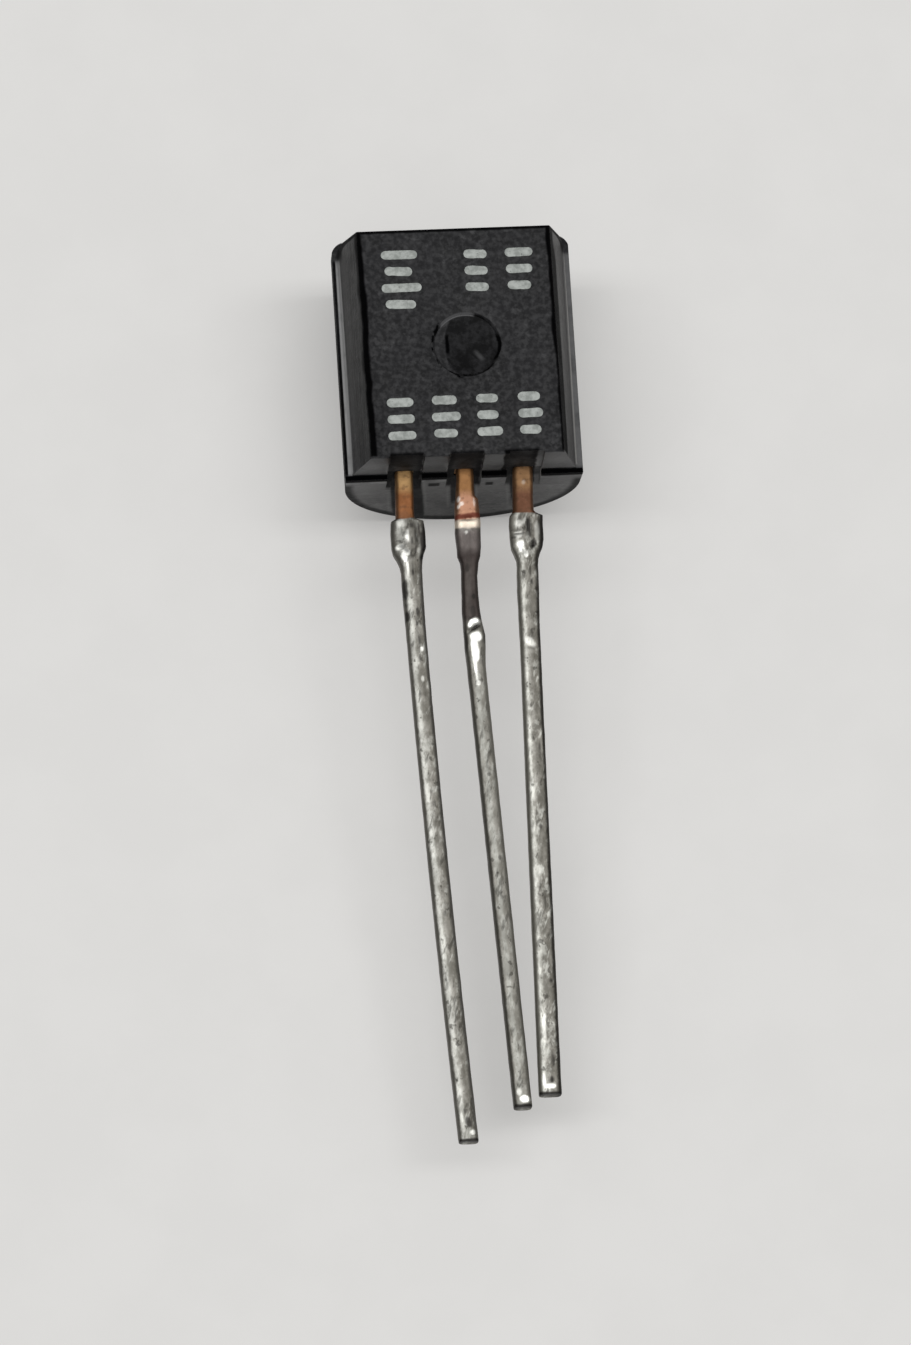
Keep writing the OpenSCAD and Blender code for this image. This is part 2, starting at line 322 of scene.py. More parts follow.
def wallCoats(tree, at, settings):  # sides with painted reflection, paler low down and on the right, with fine lines drawn down them
    shares, parting = settings["shares"], settings["parting"]
    starts, full, gone = (parting + z for z in settings["rimLightSpan"])
    at.drawn = product(tree, grain(tree, at.place, *settings["drawn"]), at.steep)
    # painted reflection: the sides get paler low down and on the right half
    paler = scaled(tree, at.down, 0.5, product(tree, at.rightHalf, 0.5))
    wall = product(tree, at.upright, fade(tree, at.z, parting, parting + 0.1),
                   scaled(tree, at.mottle, 0.5, 0.5))
    # painted light along the rim of the right side, near the parting plane
    rimLightZ = scaled(tree, at.mottle, 0.16, at.z)
    wearAndRimLight = product(tree, at.steep, at.rightHalf,
                   fade(tree, rimLightZ, starts, full), fadeOut(tree, at.z, parting, gone),
                   fade(tree, at.y, 2.35, 2.1, 0.0, 0.9))
    # painted reflection: the lead end of the front half is paler, most of all towards its
    # corners and low down
    endWall = product(tree, fadeOut(tree, at.along, -0.9, -0.6),
                      fade(tree, at.z, parting - 0.02, parting),
                      scaled(tree, fade(tree, at.side, 1.5, 2.0), 0.5, 0.65),
                      scaled(tree, at.down, 0.65, 0.45), scaled(tree, at.mottle, 0.4, 0.6))
    # painted shade: black on the steep sides next to the face, more on the left, and on the left
    # flank under the parting plane
    at.besideFace = product(tree, at.upright, fade(tree, at.z, parting + 0.2, parting + 0.65),
                            scaled(tree, at.leftHalf, 0.62, 0.33))
    at.flank = product(tree, fadeOut(tree, at.z, parting - 0.06, parting - 0.02), at.steep,
                       at.leftHalf)
    return [(wall, blend(tree, paler, *settings["wall"])),
            (product(tree, at.drawn, shares["drawn"]), settings["scuff"]),
            (wearAndRimLight, settings["paintedRimLight"]),
            (endWall, settings["endWall"]),
            (product(tree, at.besideFace, at.steep, shares["besideFace"]), settings["black"]),
            (product(tree, at.flank, shares["flank"]), settings["black"])]


def markCoats(tree, at, settings, centre):
    # the ejector pin left a blotched black floor with a paler crescent and arc
    radius, power = settings["markRadius"], settings["floorSquare"]
    fromX, fromY = minus(tree, at.x, centre[0]), minus(tree, at.y, centre[1])
    reach = reachOf(tree, fromX, fromY)
    ragged = scaled(tree, noiseAt(tree, at.place, 3.2, 4.0, 0.6), 0.16,
                    minus(tree, reach, 0.08))
    inFront = fade(tree, at.z, 3.8, 3.9)
    floorX = maths(tree, "DIVIDE", minus(tree, fromX, settings["floorAside"]),
                   settings["floorNarrow"])
    floorReach = maths(tree, "POWER", maths(tree, "ADD", *(
        maths(tree, "POWER", unsigned(tree, far), power) for far in (floorX, fromY))), 1 / power)
    floorReach = scaled(tree, noiseAt(tree, at.place, 4.0), 0.10, minus(tree, floorReach, 0.05))
    pastCrescent = fadeOut(tree, floorReach, radius, radius + 0.05)
    inside = product(tree, inFront, pastCrescent,
                     fadeOut(tree, ragged, radius - 0.02, radius + 0.04))
    blotch = grain(tree, at.place, *settings["blotch"])
    at.hollow = product(tree, inside, scaled(tree, blotch, -0.5, 0.5))
    aim = maths(tree, "DIVIDE", scaled(tree, fromX, -0.30, product(tree, fromY, 0.954)), reach)
    arc = product(tree, inFront, fade(tree, aim, 0.80, 0.88),
                  band(tree, reach, *settings["markArc"], 0.015))
    # broken black lines right of it, along its foot and inside the crescent
    rimLine = band(tree, ragged, radius - 0.04, radius + 0.03, 0.02)
    dots = grain(tree, at.place, *settings["dots"])
    rightOf = product(tree, rimLine, fade(tree, fromX, 0.50, 0.58),
                      band(tree, fromY, -0.36, 0.22, 0.08))
    footOf = product(tree, rimLine, fadeOut(tree, fromY, -0.52, -0.46), dots)
    leftOf = product(tree, band(tree, floorReach, radius - 0.07, radius + 0.01, 0.03),
                     band(tree, fromY, -0.18, 0.24, 0.06), fadeOut(tree, fromX, -0.1, 0.0))
    specks = product(tree, band(tree, ragged, radius, radius + 0.05, 0.02),
                     fadeOut(tree, fromX, -0.6, -0.5), dots)
    at.ring = product(tree, largest(tree, rightOf, footOf, leftOf, specks), inFront)
    # and a pale wedge on the floor
    slantA = scaled(tree, fromX, 0.63, scaled(tree, fromY, -0.78, -0.345))
    slantB = scaled(tree, fromX, 0.78, scaled(tree, fromY, 0.63, -0.044))
    wedge = product(tree, inFront, band(tree, slantA, -0.12, 0.12, 0.08),
                    band(tree, slantB, -0.04, 0.04, 0.04), settings["shares"]["wedge"])
    return [(inside, blend(tree, blotch, *settings["markFloor"])),
            (arc, settings["markRim"]),
            (wedge, settings["scuff"])]


def stepCoats(tree, at, settings):
    # painted highlight on the step at the parting plane, pale along the sides, with painted
    # shade as a dark rim on the left
    parting = settings["parting"]
    onStep = band(tree, at.z, parting - 0.04, parting + 0.12, 0.02)
    alongSide = product(tree, fade(tree, at.side, *settings["ledge"]),
                        band(tree, at.y, settings["endY"] + 0.015, 2.25, 0.05),
                        fadeOut(tree, unsigned(tree, at.along), 0.3, 0.5))
    pale = product(tree, onStep, alongSide, fade(tree, at.upward, 0.1, 0.3),
                   largest(tree, fadeOut(tree, at.side, *settings["ledgeRim"]), at.rightHalf),
                   scaled(tree, at.rightHalf, -0.6, 1.0),
                   grain(tree, at.place, *settings["seamGrain"]))
    at.rim = product(tree, onStep, alongSide, fade(tree, at.side, *settings["ledgeRim"]),
                     product(tree, at.leftHalf, fade(tree, at.y, 0.8, -0.8, 0.6, 0.8)))
    return [(pale, settings["paintedLight"])]


def endCoats(tree, at, settings):
    # painted shade along the parting line across the lead end, with thin painted highlights over
    # and under it
    parting, endY, paleLight = settings["parting"], settings["endY"], settings["paintedLight"]
    lineFoot, lineTop, lipFull, lipGone, underFoot, underTop = (
        parting + z for key in ("partLine", "lipTop", "underLine") for z in settings[key])
    at.partLine = product(
        tree, band(tree, at.wavyZ, lineFoot, lineTop, 0.02),
        fadeOut(tree, scaled(tree, at.wave, 0.2, at.y), endY - 0.02, endY + 0.01))
    # painted highlight: a pale band on the wall just over the parting plane
    lip = product(tree, fade(tree, at.z, parting - 0.01, parting),
                  fadeOut(tree, at.z, lipFull, lipGone),
                  fadeOut(tree, at.along, -0.9, -0.3))
    lip = product(tree, lip, scaled(tree, fade(tree, at.side, 1.5, 2.0), 0.25, 0.35))
    # painted highlight: a thin pale line under the painted shade
    under = product(tree, band(tree, at.wavyZ, underFoot, underTop, 0.03), at.atEnd,
                    fade(tree, noiseAt(tree, at.place, 2.2), 0.35, 0.55),
                    fade(tree, at.x, -0.8, 1.2, 0.6, 0.3))
    # painted light and shade: the end face is paler at the top, most of all at the left, and
    # darker low down
    topEnd = product(tree, at.atEnd, fade(tree, at.z, lineFoot, parting - 0.2),
                     scaled(tree, fade(tree, at.x, -1.2, -2.0), 0.10,
                            fade(tree, at.z, 0.8, 2.7, 0.0, 0.36)))
    lowSides = product(tree, fade(tree, at.side, 1.0, 1.8),
                       fade(tree, at.z, 2.6, 1.7, 0.0, 0.42))
    lowEnd = product(tree, at.atEnd,
                     largest(tree, fade(tree, at.z, 1.0, 0.2, 0.0, 0.35), lowSides))
    return [(lip, paleLight), (under, paleLight), (topEnd, paleLight), (lowEnd, settings["black"])]


def notchCoats(tree, at, settings):
    half, shares = leadPitch / 2, settings["shares"]
    past = leadPitch * 4.5  # keeps what is divided below positive
    betweenLeads = fadeOut(tree, at.side, *settings["leadsHalf"])
    # painted shade: the notches are darker than what is round them
    shifted = maths(tree, "ADD", at.x, fade(tree, at.x, 0.4, 0.8, past, past + 0.12))
    slot = unsigned(tree, minus(tree, maths(tree, "MODULO", shifted, leadPitch), half))
    slot = scaled(tree, noiseAt(tree, at.place, 4.0, 3.0), 0.12, minus(tree, slot, 0.06))
    notch = product(tree, fadeOut(tree, slot, *settings["notchHalf"]), betweenLeads,
                    fadeOut(tree, at.y, -2.50, -2.40), fade(tree, at.y, -2.64, -2.60),
                    fade(tree, at.z, 1.9, 2.1))
    at.notch = product(tree, notch, scaled(tree, at.mottle, -0.3,
                                           fade(tree, slot, 0.2, 0.3, 0.88, 1.0)))
    # painted shadow of each lead on the end face close behind it, with a thin painted highlight
    # along its edge
    lean = settings["grimeLean"]
    hung = scaled(tree, at.z, lean, minus(tree, at.x, lean * leadHeight))
    hung = maths(tree, "MODULO", maths(tree, "ADD", hung, past), leadPitch)
    beside = scaled(tree, at.wave, 0.35, minus(tree, hung, half))
    pastRight = minus(tree, beside, fade(tree, at.x, -0.7, 1.2, 0.37, 0.08))
    low = minus(tree, at.z, fade(tree, at.x, -0.6, 0.0, -0.1, 1.1))
    at.grime = product(tree, fade(tree, beside, -0.33, -0.27),
                       fadeOut(tree, pastRight, -0.03, 0.03), at.atEnd,
                       fade(tree, low, 0.0, 0.5), betweenLeads, shares["grime"])
    # painted highlight: thin pale lines along the edges of the painted lead shadows
    tabEdge = product(tree, largest(tree, band(tree, pastRight, 0.03, 0.07, 0.03),
                                    band(tree, beside, -0.39, -0.35, 0.03)), at.atEnd,
                      band(tree, at.z, 0.9, settings["parting"] - 0.3, 0.2),
                      fadeOut(tree, at.side, 1.5, 1.6), shares["tabEdge"])
    # painted shade in two short dents under the line
    bars = largest(tree, *(product(tree, band(tree, at.x, left, right, 0.03),
                                   band(tree, at.z, foot, head, 0.04))
                           for left, right, foot, head in settings["bars"]))
    at.bars = product(tree, bars, at.atEnd, shares["bars"])
    return [(tabEdge, settings["paintedLight"])]


def edgeMasks(tree, at, settings, backRound):
    # painted shade: near-black lines along the long edges of the face
    shares, parting = settings["shares"], settings["parting"]
    rightLine = fade(tree, at.y, 1.0, -1.4, 0.015, 0.035)
    leftLine = fade(tree, at.y, 2.3, 1.5, 0.0, 0.035)
    aside = unsigned(tree, minus(tree, at.x, scaled(tree, at.rightHalf, rightLine, leftLine)))
    fromEdge = unsigned(tree, minus(tree, maths(tree, "ADD", aside, at.wave),
                                settings["faceHalf"]))
    fromEdge = scaled(tree, at.rightHalf, -0.03, fromEdge)
    at.edgeLine = product(tree, fadeOut(tree, fromEdge, *settings["edgeLineHalf"]),
                          fade(tree, at.z, 3.70, 3.78), fade(tree, at.y, -2.53, -2.47),
                          shares["edgeLine"])
    # painted shade as dark outlines: low round the end face and along the far edge of the face
    fromAxis = minus(tree, at.z, backRound)
    turn = reachOf(tree, at.x, fromAxis)
    depth = maths(tree, "POWER", largest(
        tree, minus(tree, backRound ** 2, product(tree, at.x, at.x)), 0.0), 0.5)
    overEdge = maths(tree, "ADD", fromAxis, depth)
    outline = largest(tree, fade(tree, turn, *settings["endOutline"]),
                      fadeOut(tree, overEdge, 0.16, 0.34))
    at.outline = product(tree, outline, fadeOut(tree, at.z, 2.5, 2.8), at.atEnd,
                         shares["outline"])
    cornerX, cornerY = (
        largest(tree, minus(tree, place, far - settings["frontCorner"]), 0.0)
        for place, far in zip((at.side, at.y), settings["frontHalf"]))
    corner = reachOf(tree, cornerX, cornerY)
    at.farEdge = product(tree, fade(tree, corner, *settings["farEdge"]),
                         fade(tree, at.y, 2.1, 2.4), fade(tree, at.z, parting, parting + 0.1),
                         shares["farEdge"])


def epoxyMaterial(settings, body):
    material, tree, shader, place = startMaterial("moulded_epoxy")
    shares = settings["shares"]
    at = epoxyFields(tree, place, settings)
    blobs = product(tree, grain(tree, place, *settings["blobs"]), 0.35)
    uneven = scaled(tree, grain(tree, place, *settings["cloud"]), 0.2,
                    scaled(tree, at.mottle, 0.5, blobs))
    colour = blend(tree, uneven, settings["dark"], settings["light"])
    colour = paint(tree, colour, *skinCoats(tree, at, settings), *wallCoats(tree, at, settings),
                   *markCoats(tree, at, settings, body["markTo"]),
                   *stepCoats(tree, at, settings), *endCoats(tree, at, settings),
                   *notchCoats(tree, at, settings))
    edgeMasks(tree, at, settings, body["backRound"])
    # the painted shade above, and the dark lines round the mark, turn near black
    dark = largest(tree, at.edgeLine, at.partLine, at.notch, at.grime, at.bars, at.rim,
                   product(tree, at.ring, shares["ring"]), at.outline, at.farEdge)
    colour = blend(tree, dark, colour, settings["black"])
    # a metal this dark has no gloss, which suits the painted shade
    dull = largest(tree, dark, at.hollow, at.besideFace)
    tree.links.new(product(tree, dull, shares["dull"]), shader.inputs["Metallic"])
    roughness = scaled(tree, at.upright, settings["sideRough"] - settings["faceRough"],
                       settings["faceRough"])
    roughness = scaled(tree, at.mottle, 0.12, roughness)
    roughness = maths(tree, "MULTIPLY_ADD", largest(tree, dark, at.flank), 0.4, roughness,
                      clamp=True)
    pits = product(tree, grain(tree, place, *settings["pits"]), 0.5)
    height = maths(tree, "ADD", product(tree, noiseAt(tree, place, 18.0, 3.0), 0.6),
                   maths(tree, "ADD", pits, product(tree, at.drawn, 0.6)))
    finishMaterial(tree, shader, colour, roughness, height, *settings["bump"])
    shader.inputs["Specular IOR Level"].default_value = settings["specular"]
    return material


epoxy = epoxyMaterial(epoxySet, bodySet)
print("epoxy mixed")


def copyNode(name, newName):
    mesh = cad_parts[name].data.copy()
    mesh.name = newName
    mesh.materials.clear()
    piece = bpy.data.objects.new(newName, mesh)
    scene.collection.objects.link(piece)
    return piece


def editMesh(piece, edit):
    work = bmesh.new()
    work.from_mesh(piece.data)
    edit(work)
    work.to_mesh(piece.data)
    work.free()
    piece.data.update()


def smoothBy(piece, degrees):
    piece.data.shade_smooth()
    piece.data.set_sharp_from_angle(angle=math.radians(degrees))


def roundBack(work, radius, cuts):  # more facets on the round back
    axis = Vector((0, radius))
    before = set(work.verts)

    def onBack(v):
        out = Vector((v.co.x, v.co.z)) - axis
        return v.co.z < axis.y + 0.05 * mm and abs(out.length - axis.y) < 0.004 * mm

    chords = [e for e in work.edges if all(onBack(v) for v in e.verts)
              and abs(e.verts[0].co.y - e.verts[1].co.y) < 0.3 * e.calc_length()]
    bmesh.ops.subdivide_edges(work, edges=chords, cuts=cuts)
    for v in set(work.verts) - before:
        out = Vector((v.co.x, v.co.z)) - axis
        if v.co.z < axis.y and out.length > 0.97 * axis.y:
            out *= axis.y / out.length
            v.co.x, v.co.z = out.x, axis.y + out.y


def makeBody(settings):
    piece = copyNode("epoxy_body", "moulded_body")
    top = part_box("epoxy_body")[1][2]

    def edit(work):
        bmesh.ops.remove_doubles(work, verts=work.verts, dist=mergeWithin * mm)
        bmesh.ops.dissolve_limit(work, angle_limit=math.radians(settings["flatWithin"]),
                                 verts=work.verts, edges=work.edges)
        roundBack(work, settings["backRound"] * mm, settings["backCuts"])
        low, high, closed = (z * mm for z in settings["groove"])
        for v in work.verts:
            if v.co.y < settings["grooveTo"] * mm and low < v.co.z < high:
                v.co.z = closed
        old, new = (Vector(settings[k]) * mm for k in ("markFrom", "markTo"))
        for v in work.verts:
            if v.co.z > top - 0.2 * mm and (v.co.xy - old).length < settings["markReach"] * mm:
                v.co.xy += new - old
            if v.co.z > top - 1e-6:
                v.co.z = top - settings["faceSunk"] * mm
        half, end, farEnd, height = (edge * mm for edge in settings["hollows"])

        def inHollow(e):
            return all(abs(v.co.x) < half and end < v.co.y < farEnd and v.co.z < height
                       for v in e.verts)

        sharp = [e for e in work.edges if len(e.link_faces) == 2
                 and math.degrees(e.calc_face_angle(0)) > settings["roundFrom"]
                 and max(v.co.z for v in e.verts) > 0.1 * mm and not inHollow(e)]
        bmesh.ops.bevel(work, geom=sharp, offset=settings["edgeRound"] * mm, segments=2,
                        profile=0.5, affect="EDGES", clamp_overlap=True)
        # the bevel can leave slivers, and folded pairs of triangles that meet in one corner
        bmesh.ops.dissolve_degenerate(work, dist=settings["sliver"] * mm, edges=work.edges)
        manySided = [f for f in work.faces if len(f.verts) > 4]
        bmesh.ops.triangulate(work, faces=manySided, ngon_method="EAR_CLIP")
        folds = [f for f in work.faces if max(len(e.link_faces) for e in f.edges) > 2
                 and min(len(v.link_edges) for v in f.verts) == 2]
        bmesh.ops.delete(work, geom=folds, context="FACES")

    editMesh(piece, edit)
    piece.data.materials.append(epoxy)
    smoothBy(piece, settings["smoothTo"])
    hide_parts("epoxy_body")
    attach(piece, "root")
    return piece


body = makeBody(bodySet)
print("body made:", len(body.data.polygons), "faces")


def leadMaterial(name, settings):
    material, tree, shader, place = startMaterial(name)

    def own(layer):  # a value stored on the mesh itself
        return addNode(tree, "ShaderNodeAttribute", attribute_name=layer).outputs["Fac"]

    def share(mask, part):
        return product(tree, mask, part)

    down, side, dirtAndShadeSpot, bright = (own(layer) for layer in ("fromBody", "across", "dirtAndShadeSpot", "bright"))
    patterns, shares, shift = settings["patterns"], settings["shares"], settings["shift"]
    wander = scaled(tree, noiseAt(tree, place, 3.2, 4.0, 0.6), 1.0, -0.5)
    raggedDown = scaled(tree, wander, settings["ragged"], down)
    # tin: blotches and specks drawn out along the lead
    drawnOut = (1.0, 0.5, 1.0)
    blotch = grain(tree, place, *patterns["blotch"], shift, drawnOut)
    pale = grain(tree, place, *patterns["pale"], (shift[0] + 7, shift[1], 2), drawnOut)
    speck = grain(tree, place, *patterns["speck"], shift, drawnOut)
    pit = grain(tree, place, *patterns["pit"], (shift[0], 3, 1), (1.0, 0.7, 1.0))
    tin = blend(tree, blotch, settings["tinDark"], settings["tin"])
    # a lit band on the left half, shade on the right half and along both edges
    wavy = scaled(tree, wander, 0.6, side)
    lit = product(tree, band(tree, wavy, settings["litFrom"], settings["litTo"], 0.16),
                  scaled(tree, blotch, 0.35, 0.55))
    shade = fade(tree, wavy, settings["litTo"], settings["litTo"] + 0.6)
    tin = paint(tree, tin, (lit, settings["tinPale"]),
                (share(shade, settings["shadeShare"]), settings["tinShade"]),
                (share(pale, shares["pale"]), settings["tinPale"]),
                (share(speck, shares["speck"]), settings["tinDark"]))
    turned = addNode(tree, "ShaderNodeMapping", {
        "Vector": place, "Rotation": (0, 0, 0.25), "Location": shift}).outputs[0]
    for scale, low, part, paintName in settings["scratches"]:
        scratch = grain(tree, turned, scale, low, low + 0.13, 3, 0.6, stretch=(1.0, 0.25, 1.0))
        tin = blend(tree, share(scratch, part), tin, settings[paintName])
    edge = fade(tree, scaled(tree, wander, 0.55, unsigned(tree, side)), *settings["edgeFrom"])
    edgeColour = blend(tree, fade(tree, side, -0.1, 0.1), settings["edgeLeft"], settings["edge"])
    tin = paint(tree, tin, (share(pit, shares["pit"]), settings["pit"]),
                (share(edge, shares["tinEdge"]), edgeColour))
    # bare copper neck, rustier further out, with painted shade along both edges
    rusty = fade(tree, raggedDown, *settings["rustFrom"])
    copperGrain = grain(tree, place, *patterns["copper"])
    copper = paint(tree, blend(tree, rusty, settings["copper"], settings["rust"]),
                   (share(copperGrain, shares["copperGrain"]), settings["copperDark"]),
                   (share(edge, shares["copperEdge"]), settings["copperDark"]))
    neckEnd = settings["neckEnd"]
    bare = fadeOut(tree, scaled(tree, wander, 0.10, down), neckEnd - 0.02, neckEnd + 0.02)
    colour = blend(tree, bare, tin, copper)
    tree.links.new(scaled(tree, bare, -0.25, 0.9), shader.inputs["Metallic"])
    roughness = scaled(tree, blotch, -0.10, settings["roughness"])
    for start, end, soft, part, stain, dull in settings["stains"]:
        mask = share(band(tree, raggedDown, start, end, soft), part)
        colour = blend(tree, mask, colour, stain)
        roughness = scaled(tree, mask, dull, roughness)
    # dark spots are soot and painted shade in creases and crumples; painted highlights lie over
    # the tin and copper
    colour = paint(tree, colour, (bright, settings["bright"]), (dirtAndShadeSpot, settings["dirtAndShadeSpot"]))
    roughness = scaled(tree, bright, -0.20, roughness)
    bumps = noiseAt(tree, place, 8.0, 4.0, 0.6)
    finishMaterial(tree, shader, colour, roughness, bumps, *settings["bump"])
    return material


def geo(tree, kind, inputs=None, **settings):  # the first output of a new geometry node
    return addNode(tree, "GeometryNode" + kind, inputs, **settings).outputs[0]


def startTree(name, geometry, values, finish):  # values are name, kind and what it starts as
    tree = bpy.data.node_groups.new(name, "GeometryNodeTree")
    face = tree.interface
    face.new_socket(geometry, in_out="INPUT", socket_type="NodeSocketGeometry")
    for socket, kind, value in values:
        made = face.new_socket(socket, in_out="INPUT", socket_type="NodeSocket" + kind)
        made.default_value = value
    face.new_socket(finish, in_out="INPUT", socket_type="NodeSocketMaterial")
    face.new_socket("Geometry", in_out="OUTPUT", socket_type="NodeSocketGeometry")
    return tree, addNode(tree, "NodeGroupInput").outputs


def endTree(tree, made, finish):
    made = geo(tree, "SetShadeSmooth", {"Geometry": made})
    made = geo(tree, "RealizeInstances", {"Geometry": made})
    made = geo(tree, "SetMaterial", {"Geometry": made, "Material": finish})
    addNode(tree, "NodeGroupOutput", {"Geometry": made})


def vectors(tree, operation, first, second=(0, 0, 0)):
    inputs = {0: first, 3 if operation == "SCALE" else 1: second}
    return addNode(tree, "ShaderNodeVectorMath", inputs, operation=operation).outputs[0]


def joined(tree, x, y, z):
    return addNode(tree, "ShaderNodeCombineXYZ", {0: x, 1: y, 2: z}).outputs[0]


def sweepTree():
    # sweeps a rounded bar along a centre line; each point of the line has its own half widths
    tree, given = startTree("sweep_lead", "Line", (
        ("Corner round", "Float", 0.5), ("Points around", "Int", 44), ("Crown", "Float", 0.08),
        ("Surface waves", "Float", 0.00001), ("Waves per metre", "Float", 3000.0),
        ("Seed", "Float", 1.0)), "Finish")

    def named(name, kind="FLOAT"):
        return geo(tree, "InputNamedAttribute", {"Name": name}, data_type=kind)

    def store(geometry, name, value, kind="FLOAT"):
        return geo(tree, "StoreNamedAttribute", {
            "Geometry": geometry, "Name": name, "Value": value}, data_type=kind, domain="POINT")

    line = geo(tree, "MeshToCurve", {"Mesh": given["Line"]})
    square = geo(tree, "CurvePrimitiveQuadrilateral", {"Width": 2.0, "Height": 2.0})
    rounded = geo(tree, "FilletCurve", {
        "Curve": square, "Count": 8, "Radius": given["Corner round"]}, mode="POLY")
    ring = geo(tree, "ResampleCurve", {"Curve": rounded, "Count": given["Points around"]},
               mode="COUNT")
    ring = store(ring, "ringPlace", geo(tree, "InputPosition"), "FLOAT_VECTOR")
    swept = geo(tree, "CurveToMesh", {"Curve": line, "Profile Curve": ring, "Fill Caps": True})
    # the square ring is stretched to the half widths and crowned a little
    across, upness = axes(tree, named("ringPlace", "FLOAT_VECTOR"))[:2]
    centre = named("centre", "FLOAT_VECTOR")
    onRight = maths(tree, "GREATER_THAN", across, 0.0)
    half = addNode(tree, "ShaderNodeMix", {
        0: onRight, 2: named("leftHalf"), 3: named("rightHalf")}, data_type="FLOAT").outputs[0]
    fall = product(tree, across, across, given["Crown"])
    rise = minus(tree, upness, product(tree, fall, upness))
    sideways = joined(tree, product(tree, across, half), 0.0, 0.0)
    upwards = vectors(tree, "SCALE", named("lift", "FLOAT_VECTOR"),
                      product(tree, rise, named("halfThick")))
    where = vectors(tree, "ADD", vectors(tree, "ADD", centre, sideways), upwards)
    swept = geo(tree, "SetPosition", {"Geometry": swept, "Position": where})
    swept = store(store(swept, "across", across), "upness", upness)
    # small waves over the whole surface
    here = geo(tree, "InputPosition")
    moved = vectors(tree, "ADD", vectors(tree, "SCALE", here, given["Waves per metre"]),
                    joined(tree, given["Seed"], 0.0, 0.0))
    cloud = noiseAt(tree, moved, 1.0, 3.0)
    wave = product(tree, scaled(tree, cloud, 2.0, -1.0), given["Surface waves"])
    outward = vectors(tree, "NORMALIZE", vectors(tree, "SUBTRACT", here, centre))
    swept = geo(tree, "SetPosition", {
        "Geometry": swept, "Offset": vectors(tree, "SCALE", outward, wave)})
    endTree(tree, swept, given["Finish"])
    return tree


def applyTree(piece, tree, values):
    modifier = piece.modifiers.new("nodes", "NODES")
    modifier.node_group = tree
    sockets = {s.name: s.identifier for s in tree.interface.items_tree if s.in_out == "INPUT"}
    for name, value in values.items():
        modifier[sockets[name]] = value
    graph = bpy.context.evaluated_depsgraph_get()
    made = bpy.data.meshes.new_from_object(piece.evaluated_get(graph), depsgraph=graph,
                                           preserve_all_data_layers=True)
    piece.modifiers.clear()
    piece.data = made


def between(table, at, column=1):  # reads a table of rows that start with a distance
    if at <= table[0][0]:
        return table[0][column]
    for low, high in zip(table, table[1:]):
        if at <= high[0]:
            t = (at - low[0]) / (high[0] - low[0])
            return low[column] + t * (high[column] - low[column])
    return table[-1][column]


sweepSet = {
    "step": 0.025,  # mm between rings
    "tipRings": (0.022, 0.008, 0.0),  # mm from the tip
    "exit": -2.665,  # where the leads leave the body
    "start": -0.19,  # the sweep starts this far out, inside the notch
    "halfThick": 0.2,
    "tipRound": 0.035,
    "pointsAround": 64,
    "cornerRound": 0.5,
    "crown": 0.08,
    "waves": 0.009,
    "wavesPerMetre": 3000.0,
    "bendOver": (-0.12, -0.06, 0, 0.06, 0.12),  # bends are averaged over these steps
    "overlap": 0.01,  # of the swept part and the part inside the body
}

tinSet = {
    "tin": tone(150, 148, 142), "tinPale": tone(182, 182, 176), "tinDark": tone(118, 116, 109),
    "tinShade": tone(88, 85, 78), "pit": tone(54, 52, 47), "edge": tone(92, 90, 84),
    "edgeLeft": tone(92, 90, 84), "edgeFrom": (0.66, 0.86),
    # a painted highlight colour, and a dark colour for soot and painted shade
    "bright": tone(232, 232, 226), "dirtAndShadeSpot": tone(40, 38, 36),
    "litFrom": -0.74, "litTo": -0.22, "shadeShare": 0.75,
    "roughness": 0.60, "ragged": 0.16, "shift": (0, 0, 0), "bump": (0.014, 0.5),
    "copper": tone(150, 118, 76), "rust": tone(122, 76, 40), "copperDark": tone(70, 46, 26),
    "rustFrom": (0.1, 0.4), "neckEnd": 0.86, "stains": (),
    # scale, low and high level, detail, roughness
    "patterns": {"blotch": (4.6, 0.36, 0.64, 4, 0.65), "pale": (6.0, 0.52, 0.68, 3, 0.6),
                 "speck": (12.0, 0.52, 0.66, 3, 0.6), "pit": (7.5, 0.63, 0.70, 2, 0.5),
                 "copper": (8, 0.5, 0.7, 3)},
    "shares": {"pale": 0.45, "speck": 0.5, "pit": 0.65, "tinEdge": 0.9, "copperGrain": 0.5,
               "copperEdge": 0.7},
    "scratches": ((7.0, 0.55, 0.55, "tinPale"), (8.0, 0.54, 0.62, "pit")),
}
